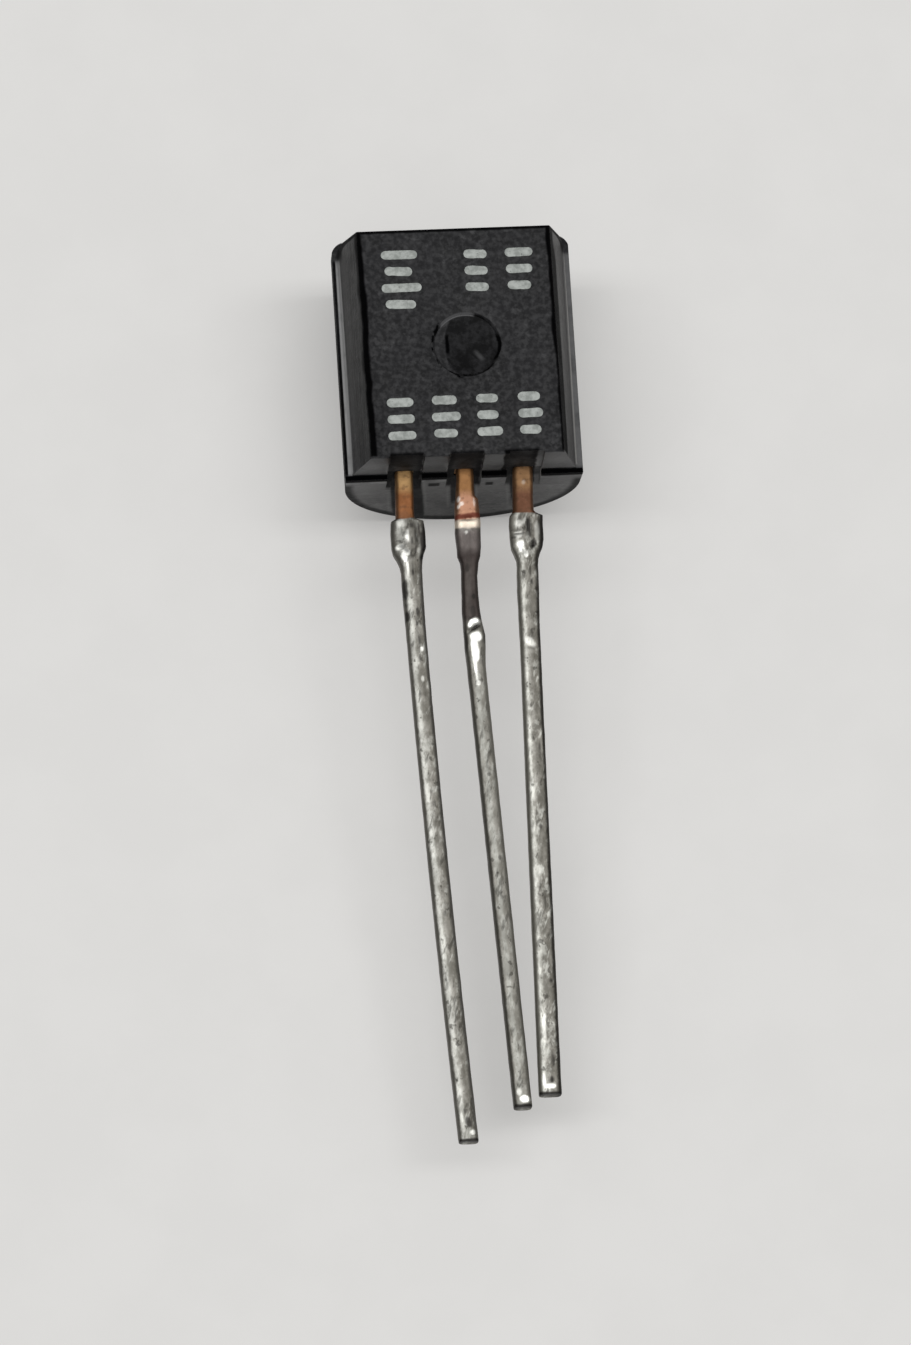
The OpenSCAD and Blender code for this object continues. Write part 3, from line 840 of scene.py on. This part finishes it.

# halves: mm from the body, half widths left and right of the centre line
# dents: mm from the body, place across from -1 to 1, reach along and across, depth, skew
# dark spots of soot and painted shade, and painted highlights: the same, with a strength instead
# of a depth
# stains: from and to in mm, softness, share, colour, added roughness
leadSet = {
    "base_lead": {
        "x": -leadPitch, "length": 14.25, "tipX": 0.58, "leanFrom": 0.0, "leanPower": 1.5,
        "tipDrop": 1.25, "droopPower": 1.15, "seed": 3.0,
        "halves": ((-0.3, 0.20, 0.18), (0.0, 0.20, 0.18), (0.70, 0.235, 0.155),
                   (0.84, 0.24, 0.16), (0.90, 0.347, 0.345), (1.12, 0.366, 0.361),
                   (1.47, 0.369, 0.357), (1.60, 0.350, 0.300), (1.73, 0.278, 0.265),
                   (1.86, 0.228, 0.243), (2.0, 0.210, 0.229), (2.2, 0.214, 0.225),
                   (2.5, 0.215, 0.22), (3.2, 0.206, 0.209), (14.25, 0.207, 0.209)),
        "dents": ((1.22, 0.55, 0.34, 0.16, 0.06), (1.40, -0.35, 0.12, 0.3, 0.05),
                  (1.62, 0.2, 0.10, 0.2, 0.05), (1.12, -0.30, 0.10, 0.2, 0.03),
                  (1.52, -0.1, 0.07, 0.14, 0.04, -0.1), (1.95, 0.25, 0.3, 0.16, 0.025),
                  (3.35, 0.3, 0.35, 0.3, 0.02), (4.6, 0.5, 0.2, 0.3, 0.02),
                  (7.1, -0.9, 0.12, 0.3, -0.02), (10.9, -0.6, 0.15, 0.25, 0.03)),
        "dirtAndShadeSpots": ((1.30, 1.0, 0.5, 0.46, 0.96), (1.2, -0.2, 0.5, 1.3, 0.30),
                  (1.08, 0.62, 0.16, 0.12, 0.95), (1.02, 0.22, 0.08, 0.10, 0.8),
                  (1.34, 0.18, 0.10, 0.10, 0.85), (1.55, 0.38, 0.12, 0.12, 0.9),
                  (1.36, -0.55, 0.03, 0.3, 0.8, 0.1), (2.05, 0.1, 0.08, 0.12, 0.7),
                  (2.45, -0.8, 0.35, 0.3, 0.85), (2.9, 0.25, 0.10, 0.16, 0.8),
                  (3.15, 0.1, 0.06, 0.12, 0.8), (3.0, -0.8, 0.12, 0.35, 0.9),
                  (3.5, 0.2, 0.14, 0.12, 0.6), (3.9, 0.1, 0.10, 0.2, 0.6),
                  (7.05, 0.2, 0.07, 0.2, 0.5), (9.4, 0.1, 0.08, 0.2, 0.5),
                  (13.86, 0.15, 0.12, 0.36, 0.8), (13.62, -0.1, 0.06, 0.2, 0.6),
                  (14.25, 0.0, 0.06, 3.0, 0.95)),
        # painted highlights: glints on the shoulders, dents and tip
        "brights": ((1.48, -0.55, 0.07, 0.26, 1.0, -0.14), (1.60, -0.25, 0.07, 0.28, 0.9, 0.12),
                    (1.22, -0.10, 0.18, 0.09, 0.6), (1.72, -0.45, 0.12, 0.18, 0.8),
                    (0.98, -0.40, 0.08, 0.35, 0.2), (1.95, -0.35, 0.20, 0.18, 0.5),
                    (3.72, 0.35, 0.06, 0.2, 0.6), (4.35, 0.2, 0.08, 0.2, 0.4),
                    (14.08, 0.45, 0.06, 0.34, 0.5), (13.75, -0.5, 0.14, 0.16, 0.35)),
        "finish": {"edge": tone(112, 110, 104)},
    },
    "collector_lead": {
        "x": 0.0, "length": 13.55, "tipX": 0.49, "leanFrom": 3.15, "leanPower": 1.0,
        "seed": 11.0,
        "droop": ((0, 0), (0.92, 0.03), (1.17, 0.07), (2.9, 0.47), (3.15, 0.5), (3.4, 0.505),
                  (4.25, 0.56), (5.35, 0.62), (13.55, 1.25)),
        "halves": ((-0.3, 0.16, 0.20), (0.0, 0.16, 0.20), (0.29, 0.195, 0.188),
                   (0.40, 0.20, 0.20), (0.47, 0.216, 0.262), (0.65, 0.237, 0.273),
                   (1.0, 0.250, 0.290), (1.17, 0.258, 0.280), (1.34, 0.247, 0.274),
                   (1.5, 0.232, 0.272), (1.67, 0.226, 0.252), (1.80, 0.176, 0.207),
                   (1.96, 0.162, 0.187), (2.08, 0.166, 0.168), (2.33, 0.176, 0.170),
                   (2.5, 0.171, 0.172), (2.83, 0.185, 0.194), (3.0, 0.177, 0.213),
                   (3.17, 0.176, 0.246), (3.35, 0.178, 0.264), (3.6, 0.188, 0.246),
                   (4.0, 0.183, 0.204), (5.0, 0.183, 0.199), (13.55, 0.186, 0.200)),
        "dents": ((0.92, 0.0, 0.05, 0.9, 0.04), (1.3, 0.3, 0.2, 0.2, 0.02),
                  (3.21, 0.15, 0.05, 0.8, 0.06, -0.13), (3.05, -0.1, 0.08, 0.7, -0.02),
                  (6.2, 0.2, 0.12, 0.3, 0.02), (9.0, 0.2, 0.10, 0.3, 0.03)),
        "dirtAndShadeSpots": ((2.55, 0.35, 0.07, 0.25, 0.8), (2.85, 0.2, 0.14, 0.3, 0.6),
                  (1.95, -0.3, 0.10, 0.3, 0.5), (3.215, 0.18, 0.045, 0.62, 0.95, -0.13),
                  (3.5, -0.95, 0.25, 0.3, 0.7), (3.4, 0.98, 0.3, 0.2, 0.6),
                  (6.4, 0.1, 0.05, 0.2, 0.6), (8.2, 0.3, 0.06, 0.2, 0.6),
                  (13.55, 0.0, 0.06, 3.0, 0.95)),
        # painted highlights: glints at the kink, the neck and the tip
        "brights": ((3.11, 0.10, 0.10, 0.66, 1.0, -0.08), (3.40, 0.10, 0.14, 0.62, 1.0),
                    (3.66, 0.0, 0.36, 0.44, 1.0), (4.05, -0.10, 0.32, 0.22, 0.7),
                    (4.42, 0.0, 0.06, 0.26, 0.5), (0.50, -0.75, 0.07, 0.18, 0.55),
                    (0.60, -0.45, 0.05, 0.22, 0.5), (0.66, -0.72, 0.05, 0.16, 0.5),
                    (0.56, 0.62, 0.12, 0.10, 0.35), (1.22, -0.15, 0.05, 0.18, 0.4),
                    (13.40, 0.15, 0.085, 0.72, 0.95), (13.24, -0.3, 0.10, 0.3, 0.4)),
        "finish": {"shift": (5, 1, 0), "litFrom": -0.4, "litTo": 0.1, "shadeShare": 0.6,
                   "tinPale": tone(156, 156, 150), "tin": tone(130, 128, 122),
                   "edge": tone(130, 128, 120), "edgeLeft": tone(76, 74, 68),
                   "edgeFrom": (0.56, 0.80),
                   "copper": tone(138, 98, 58), "rust": tone(172, 128, 102),
                   "rustFrom": (0.25, 0.5), "neckEnd": 0.93,
                   "stains": ((0.80, 0.90, 0.03, 0.9, tone(96, 38, 24), 0.1),
                              (0.92, 1.08, 0.03, 0.9, tone(222, 209, 192), 0.0),
                              (1.10, 1.72, 0.12, 0.9, tone(96, 89, 87), 0.05),
                              (1.56, 3.04, 0.12, 0.92, tone(58, 51, 49), 0.05))},
    },
    "emitter_lead": {
        "x": leadPitch, "length": 13.3, "tipX": -0.17, "leanFrom": 0.0, "leanPower": 1.0,
        "tipDrop": 1.25, "droopPower": 1.15, "seed": 23.0,
        "halves": ((-0.3, 0.22, 0.187), (0.0, 0.238, 0.187), (0.5, 0.258, 0.168),
                   (0.76, 0.27, 0.177), (0.81, 0.30, 0.22), (0.87, 0.342, 0.358),
                   (1.04, 0.358, 0.354), (1.39, 0.350, 0.358), (1.56, 0.336, 0.323),
                   (1.69, 0.280, 0.263), (1.82, 0.233, 0.226), (1.95, 0.227, 0.212),
                   (2.1, 0.237, 0.2125), (2.34, 0.240, 0.2115), (2.47, 0.246, 0.211),
                   (3.3, 0.238, 0.19), (3.56, 0.234, 0.192), (5.2, 0.240, 0.192),
                   (8.4, 0.248, 0.202), (13.3, 0.250, 0.225)),
        "dents": ((1.14, 0.12, 0.26, 0.12, 0.07), (1.52, 0.34, 0.09, 0.2, 0.06),
                  (1.26, -0.55, 0.04, 0.35, 0.03), (1.62, -0.2, 0.12, 0.2, 0.04, -0.1),
                  (3.72, 0.0, 0.08, 0.9, 0.012), (6.0, 0.5, 0.3, 0.25, 0.02),
                  (9.2, 0.35, 0.15, 0.2, 0.03)),
        "dirtAndShadeSpots": ((1.14, 0.12, 0.26, 0.15, 0.9), (1.53, 0.34, 0.12, 0.22, 1.0),
                  (1.30, 1.02, 0.5, 0.26, 0.97), (1.2, 0.0, 0.4, 1.3, 0.16),
                  (1.20, -0.60, 0.03, 0.35, 0.5), (1.36, -0.80, 0.03, 0.2, 0.6),
                  (2.1, 0.15, 0.12, 0.12, 0.7), (2.35, 0.25, 0.08, 0.12, 0.85),
                  (5.9, 0.35, 0.10, 0.2, 0.5), (10.9, 0.45, 0.05, 0.2, 0.8),
                  (7.6, 0.1, 0.07, 0.2, 0.6), (13.0, 0.08, 0.09, 0.24, 0.9),
                  (12.6, 0.3, 0.16, 0.16, 0.7), (13.3, 0.0, 0.06, 3.0, 0.95)),
        # painted highlights: glints on the shoulders, dents and tip
        "brights": ((1.56, -0.38, 0.13, 0.34, 1.0), (1.72, -0.15, 0.10, 0.2, 0.9),
                    (1.05, -0.5, 0.10, 0.30, 0.3), (1.30, -0.50, 0.08, 0.28, 0.35),
                    (1.25, 0.62, 0.28, 0.16, 0.25), (0.165, -0.10, 0.07, 0.22, 0.16),
                    (3.64, -0.3, 0.12, 0.6, 0.35, 0.1), (13.14, 0.0, 0.07, 0.55, 0.7),
                    (12.98, -0.60, 0.18, 0.18, 0.5), (11.9, -0.35, 0.4, 0.2, 0.4)),
        "finish": {"shift": (9, 4, 0), "litFrom": -0.86, "litTo": -0.42,
                   "tinPale": tone(198, 198, 191), "edge": tone(50, 48, 43),
                   "edgeLeft": tone(118, 116, 108), "edgeFrom": (0.56, 0.84),
                   "copper": tone(126, 94, 62), "rust": tone(92, 58, 38),
                   "rustFrom": (0.15, 0.45), "neckEnd": 0.82},
    },
}


def leadCentre(settings, common, d):
    length, leanFrom = settings["length"], settings["leanFrom"]
    lean = max(0.0, d - leanFrom) / (length - leanFrom)
    x = settings["x"] + settings["tipX"] * lean ** settings["leanPower"]
    if "droop" in settings:
        steps = common["bendOver"]
        drop = sum(between(settings["droop"], max(0.0, d + o)) for o in steps) / len(steps)
    else:
        drop = settings["tipDrop"] * (max(0.0, d) / length) ** settings["droopPower"]
    return Vector((x, common["exit"] - d, leadHeight - drop)) * mm


def onLead(v, settings, common):
    # a point's distance from the body in mm, the centre line there, its place across
    d = common["exit"] - v.co.y / mm
    middle = leadCentre(settings, common, d)
    half = between(settings["halves"], d, 2 if v.co.x > middle.x else 1) * mm
    return d, middle, (v.co.x - middle.x) / half


def ovalReach(d, s, at, side, long, wide, skew):  # 0 in the middle of a spot, 1 on its rim
    return math.hypot((d - at - sum(skew) * (s - side)) / long, (s - side) / wide)


def centreLine(name, settings, common):
    length, start = settings["length"], common["start"]
    count = int((length - start) / common["step"])
    stations = [start + (length - start) * i / count for i in range(count)]
    stations += [row[0] for row in settings["halves"] if start < row[0] < length - 0.05]
    stations = sorted(set(round(d, 4) for d in stations))
    stations += [length - left for left in common["tipRings"]]
    centres = [leadCentre(settings, common, d) for d in stations]
    lifts = []
    for i in range(len(stations)):
        run = centres[min(i + 1, len(centres) - 1)] - centres[max(i - 1, 0)]
        lifts.append(Vector((0, -run.z, run.y)).normalized() * -1)
    mesh = bpy.data.meshes.new(name)
    mesh.from_pydata(centres, [(i, i + 1) for i in range(len(centres) - 1)], [])

    def trimmed(d):  # the square-cut tip has a slightly rounded rim
        left = length - d
        r = common["tipRound"]
        return 0.0 if left > r else r - math.sqrt(max(0.0, r * r - (r - left) ** 2))

    halves = [[(between(settings["halves"], d, column) - trimmed(d)) * mm for d in stations]
              for column in (1, 2)]
    thick = [(common["halfThick"] - trimmed(d)) * mm for d in stations]
    for layer, values in (("leftHalf", halves[0]), ("rightHalf", halves[1]),
                          ("halfThick", thick), ("fromBody", stations)):
        mesh.attributes.new(layer, "FLOAT", "POINT").data.foreach_set("value", values)
    for layer, values in (("centre", centres), ("lift", lifts)):
        mesh.attributes.new(layer, "FLOAT_VECTOR", "POINT").data.foreach_set(
            "vector", [c for v in values for c in v])
    return mesh


def dentLead(work, node, settings, common):
    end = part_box(node)[0][1]
    for v in work.verts:
        v.co.y = max(v.co.y, end)
        d, middle, s = onLead(v, settings, common)
        if v.co.z < middle.z:
            continue
        for at, side, long, wide, depth, *skew in settings["dents"]:
            far = ovalReach(d, s, at, side, long, wide, skew) ** 2
            if far < 6:
                v.co.z -= depth * mm * math.exp(-far * 1.5)
    bmesh.ops.recalc_face_normals(work, faces=work.faces)


def spotLevels(mesh, spots, settings, common):  # the strength of the spots at each point, for the soot and painted shade and for the painted highlights
    levels = []
    for v in mesh.vertices:
        d, middle, s = onLead(v, settings, common)
        shake = noise.noise(v.co / mm * 6) * 0.45
        level = 0.0
        if v.co.z > middle.z:
            for at, side, long, wide, strength, *skew in spots:
                far = ovalReach(d, s, at, side, long, wide, skew) + shake
                level = max(level, strength * min(1.0, max(0.0, 2.5 * (1.05 - far))))
        levels.append(level)
    return levels


def insidePart(node, common, finish):  # what stays inside the body is cut from the solid
    inner = copyNode(node, node + "_inside")
    cut = (common["exit"] - common["start"] + common["overlap"]) * mm

    def trim(work):
        bmesh.ops.remove_doubles(work, verts=work.verts, dist=mergeWithin * mm)
        found = bmesh.ops.bisect_plane(work, geom=work.verts[:] + work.edges[:] + work.faces[:],
                                       plane_co=(0, cut, 0), plane_no=(0, -1, 0),
                                       clear_outer=True)
        rim = [e for e in found["geom_cut"] if isinstance(e, bmesh.types.BMEdge)]
        bmesh.ops.holes_fill(work, edges=rim)
        bmesh.ops.recalc_face_normals(work, faces=work.faces)

    editMesh(inner, trim)
    inner.data.materials.append(finish)
    layer = inner.data.attributes.new("fromBody", "FLOAT", "POINT")
    layer.data.foreach_set("value", [common["exit"] - v.co.y / mm for v in inner.data.vertices])
    return inner


def joinPieces(name, parts):
    with bpy.context.temp_override(active_object=parts[0], object=parts[0],
                                   selected_objects=parts, selected_editable_objects=parts):
        bpy.ops.object.join()
    parts[0].name = name
    parts[0].data.name = name
    return parts[0]


def makeLead(node, settings, common, tree):
    line = centreLine(node + "_line", settings, common)
    outside = bpy.data.objects.new(node + "_outside", line)
    scene.collection.objects.link(outside)
    finish = leadMaterial(node + "_metal", {**tinSet, **settings["finish"]})
    applyTree(outside, tree, {
        "Corner round": common["cornerRound"], "Points around": common["pointsAround"],
        "Crown": common["crown"], "Surface waves": common["waves"] * mm,
        "Waves per metre": common["wavesPerMetre"], "Seed": settings["seed"],
        "Finish": finish})
    editMesh(outside, lambda work: dentLead(work, node, settings, common))
    for name in ("dirtAndShadeSpot", "bright"):
        levels = spotLevels(outside.data, settings[name + "s"], settings, common)
        layer = outside.data.attributes.new(name, "FLOAT", "POINT")
        layer.data.foreach_set("value", levels)
    inside = insidePart(node, common, finish)
    piece = joinPieces(node + "_formed", [outside, inside])
    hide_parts(node)
    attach(piece, "root")
    return piece


sweep = sweepTree()
for node, settings in leadSet.items():
    made = makeLead(node, settings, sweepSet, sweep)
    print(made.name, "made:", len(made.data.polygons), "faces")


inkSet = {
    "width": 0.2,  # mm
    "height": 0.010,
    "uneven": 0.16,
    "seed": 5.0,
    "step": 0.01,
    "tall": 0.37,  # from dash to dash
    "longer": 0.4,  # how far a dash's length strays
    "aside": 0.06,  # its middle
    "askew": 0.05,  # and its ends
    # each block is a stack of plain dashes: centre x, centre y, length, how many
    "blocks": ((-1.18, 1.43, 0.80, 4), (0.46, 1.58, 0.60, 3), (1.35, 1.59, 0.56, 3),
               (-1.36, -1.69, 0.56, 3), (-0.41, -1.67, 0.56, 3), (0.50, -1.66, 0.50, 3),
               (1.38, -1.65, 0.48, 3)),
    "pale": (tone(124, 128, 124), tone(160, 164, 160)),
    "wearAndRimLight": tone(74, 75, 75),
    "roughness": 0.6,
}


def inkTree():
    # turns lines into flat dashes with round ends and slightly uneven sides
    tree, given = startTree("ink_dashes", "Lines", (
        ("Width", "Float", 0.0002), ("Height", "Float", 0.00001), ("Step", "Float", 0.00003),
        ("Uneven", "Float", 0.15), ("Seed", "Float", 1.0), ("Surface", "Float", 0.0)), "Ink")
    line = geo(tree, "MeshToCurve", {"Mesh": given["Lines"]})
    line = geo(tree, "ResampleCurve", {"Curve": line, "Length": given["Step"]}, mode="LENGTH")
    length = addNode(tree, "GeometryNodeSplineLength").outputs["Length"]
    gone = addNode(tree, "GeometryNodeSplineParameter").outputs["Length"]
    near = maths(tree, "MINIMUM", gone, minus(tree, length, gone))
    half = product(tree, given["Width"], 0.5)
    short = maths(tree, "SUBTRACT", 1.0, maths(tree, "DIVIDE", near, half), clamp=True)
    bow = maths(tree, "SQRT", minus(tree, 1.0004, product(tree, short, short)))
    inMm = vectors(tree, "SCALE", geo(tree, "InputPosition"), 1 / mm)
    seeded = vectors(tree, "ADD", inMm, joined(tree, 0.0, 0.0, given["Seed"]))
    cloud = scaled(tree, noiseAt(tree, seeded, 6.0, 2.0), 2.0, -1.0)
    uneven = scaled(tree, cloud, given["Uneven"], 1.0)
    radius = product(tree, half, bow, uneven)
    line = geo(tree, "SetCurveRadius", {"Curve": line, "Radius": radius})
    ring = geo(tree, "CurvePrimitiveCircle", {"Resolution": 16, "Radius": 1.0})
    swept = addNode(tree, "GeometryNodeCurveToMesh", {
        "Curve": line, "Profile Curve": ring, "Fill Caps": True})
    if "Scale" in swept.inputs:  # newer builds take the radius here
        tree.links.new(geo(tree, "InputRadius"), swept.inputs["Scale"])
    x, y, z = axes(tree, geo(tree, "InputPosition"))
    squeeze = maths(tree, "DIVIDE", given["Height"], given["Width"])
    flat = scaled(tree, minus(tree, z, given["Surface"]), squeeze, given["Surface"])
    made = geo(tree, "SetPosition", {
        "Geometry": swept.outputs[0], "Position": joined(tree, x, y, flat)})
    endTree(tree, made, given["Ink"])
    return tree


def inkMaterial(settings):
    material, tree, shader, place = startMaterial("marking_ink")
    cloud = grain(tree, place, 6, 0.35, 0.65, 4, 0.65)
    holes = grain(tree, place, 14, 0.66, 0.74, 3, 0.6)
    colour = blend(tree, cloud, *settings["pale"])
    colour = blend(tree, product(tree, holes, 0.8), colour, settings["wearAndRimLight"])
    finishMaterial(tree, shader, colour, settings["roughness"], cloud, 0.003, 0.6)
    return material


def makeInk(settings, faceSunk):
    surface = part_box("epoxy_body")[1][2] - faceSunk * mm
    points = []
    for x, y, length, count in settings["blocks"]:
        for i in range(count):
            level = y + settings["tall"] * ((count - 1) / 2 - i)
            slip = noise.noise(Vector((x * 3, level * 3, settings["seed"])))
            for end in (-0.5, 0.5):
                along = length * end * (1 + settings["longer"] * slip)
                points.append(Vector((
                    x + along + settings["aside"] * slip,
                    level + settings["askew"] * slip * end, surface / mm)) * mm)
    mesh = bpy.data.meshes.new("ink")
    mesh.from_pydata(points, [(i, i + 1) for i in range(0, len(points), 2)], [])
    piece = bpy.data.objects.new("ink_marks", mesh)
    scene.collection.objects.link(piece)
    applyTree(piece, inkTree(), {
        "Width": settings["width"] * mm, "Height": settings["height"] * mm,
        "Step": settings["step"] * mm, "Uneven": settings["uneven"],
        "Seed": settings["seed"], "Surface": surface, "Ink": inkMaterial(settings)})
    editMesh(piece, lambda work: bmesh.ops.recalc_face_normals(work, faces=work.faces))
    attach(piece, "root")
    return piece


ink = makeInk(inkSet, bodySet["faceSunk"])
print("ink made:", len(ink.data.polygons), "faces")


# what is sealed in: two colours, the size of their grain, metallic, roughness
sealedSet = {
    "silicon": (tone(84, 88, 102), tone(108, 112, 124), 12, 0.4, 0.22),
    "solder": (tone(150, 150, 150), tone(182, 182, 180), 10, 0.9, 0.4),
    "gold_wire": (tone(214, 168, 84), tone(236, 196, 112), 20, 1.0, 0.2),
}


def sealedMaterial(name, first, second, scale, metal, roughness):
    material, tree, shader, place = startMaterial(name)
    cloud = grain(tree, place, scale, 0.35, 0.65, 4)
    shader.inputs["Metallic"].default_value = metal
    finishMaterial(tree, shader, blend(tree, cloud, first, second),
                   scaled(tree, cloud, 0.15, roughness), cloud, 0.002, 0.5)
    return material


sealed = {name: sealedMaterial(name, *row) for name, row in sealedSet.items()}
for node, finish in (("die", "silicon"), ("die_solder", "solder"), ("base_wire", "gold_wire"),
                     ("emitter_wire", "gold_wire")):
    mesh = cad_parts[node].data
    if mesh.materials:
        mesh.materials[0] = sealed[finish]
    else:
        mesh.materials.append(sealed[finish])
print("sealed parts finished")


stageSet = {
    "floorHalf": 3.0,  # metres
    "floorColour": tone(216, 215, 213),
    "floorShade": tone(214, 213, 211),
    "floorGrain": (0.35, 0.35, 0.65, 5, 0.6),
    "floorRough": 0.9,
    "floorSpecular": 0.1,
    "floorFill": 0.22,  # share of the card's own light that shadows keep
    "lampHeight": 0.6,
    "lampX": -0.05,
    "lampLong": 1.05,
    "lampWide": 0.13,
    "lampPower": 3.3,
    "skyTop": 0.60,
    "skyLow": 0.08,
}


def makeFloor(settings):
    half = settings["floorHalf"]
    corners = [(-half, -half, 0), (half, -half, 0), (half, half, 0), (-half, half, 0)]
    mesh = bpy.data.meshes.new("floor")
    mesh.from_pydata(corners, [], [(0, 1, 2, 3)])
    floor = bpy.data.objects.new("floor", mesh)
    scene.collection.objects.link(floor)
    material, tree, shader, place = startMaterial("floor_card")
    cloud = grain(tree, place, *settings["floorGrain"])
    colour = blend(tree, cloud, settings["floorColour"], settings["floorShade"])
    finishMaterial(tree, shader, colour, settings["floorRough"])
    shader.inputs["Specular IOR Level"].default_value = settings["floorSpecular"]
    # what the camera and reflections see keeps its shadows softer than the card itself
    fill = settings["floorFill"] / settings["floorColour"][0]
    seen = addNode(tree, "ShaderNodeBsdfDiffuse", {
        "Color": blend(tree, fill, colour, (0, 0, 0, 1))}).outputs[0]
    own = addNode(tree, "ShaderNodeEmission", {"Color": colour, "Strength": fill}).outputs[0]
    both = addNode(tree, "ShaderNodeAddShader", {0: seen, 1: own}).outputs[0]
    ray = addNode(tree, "ShaderNodeLightPath").outputs
    direct = largest(tree, ray["Is Glossy Ray"], ray["Is Transmission Ray"])
    direct = largest(tree, ray["Is Camera Ray"], direct)
    mixed = addNode(tree, "ShaderNodeMixShader", {
        0: direct, 1: shader.outputs[0], 2: both}).outputs[0]
    tree.links.new(mixed, tree.nodes["Material Output"].inputs["Surface"])
    mesh.materials.append(material)


def makeLight(settings):
    data = bpy.data.lights.new("softbox", "AREA")
    data.shape = "RECTANGLE"
    data.size, data.size_y = settings["lampLong"], settings["lampWide"]
    data.energy = settings["lampPower"]
    lamp = bpy.data.objects.new("softbox", data)
    lamp.location = (settings["lampX"], 0, settings["lampHeight"])
    lamp.visible_camera = False
    scene.collection.objects.link(lamp)
    world = bpy.data.worlds.new("studio")
    scene.world = world
    world.use_nodes = True
    tree = world.node_tree
    up = axes(tree, addNode(tree, "ShaderNodeTexCoord").outputs["Generated"])[2]
    sky = fade(tree, up, 0.0, 1.0, settings["skyLow"], settings["skyTop"])
    plug(tree, tree.nodes["Background"].inputs["Strength"], sky)
    plug(tree, tree.nodes["Background"].inputs["Color"], (1, 1, 1, 1))


makeFloor(stageSet)
makeLight(stageSet)
print("floor and light set")
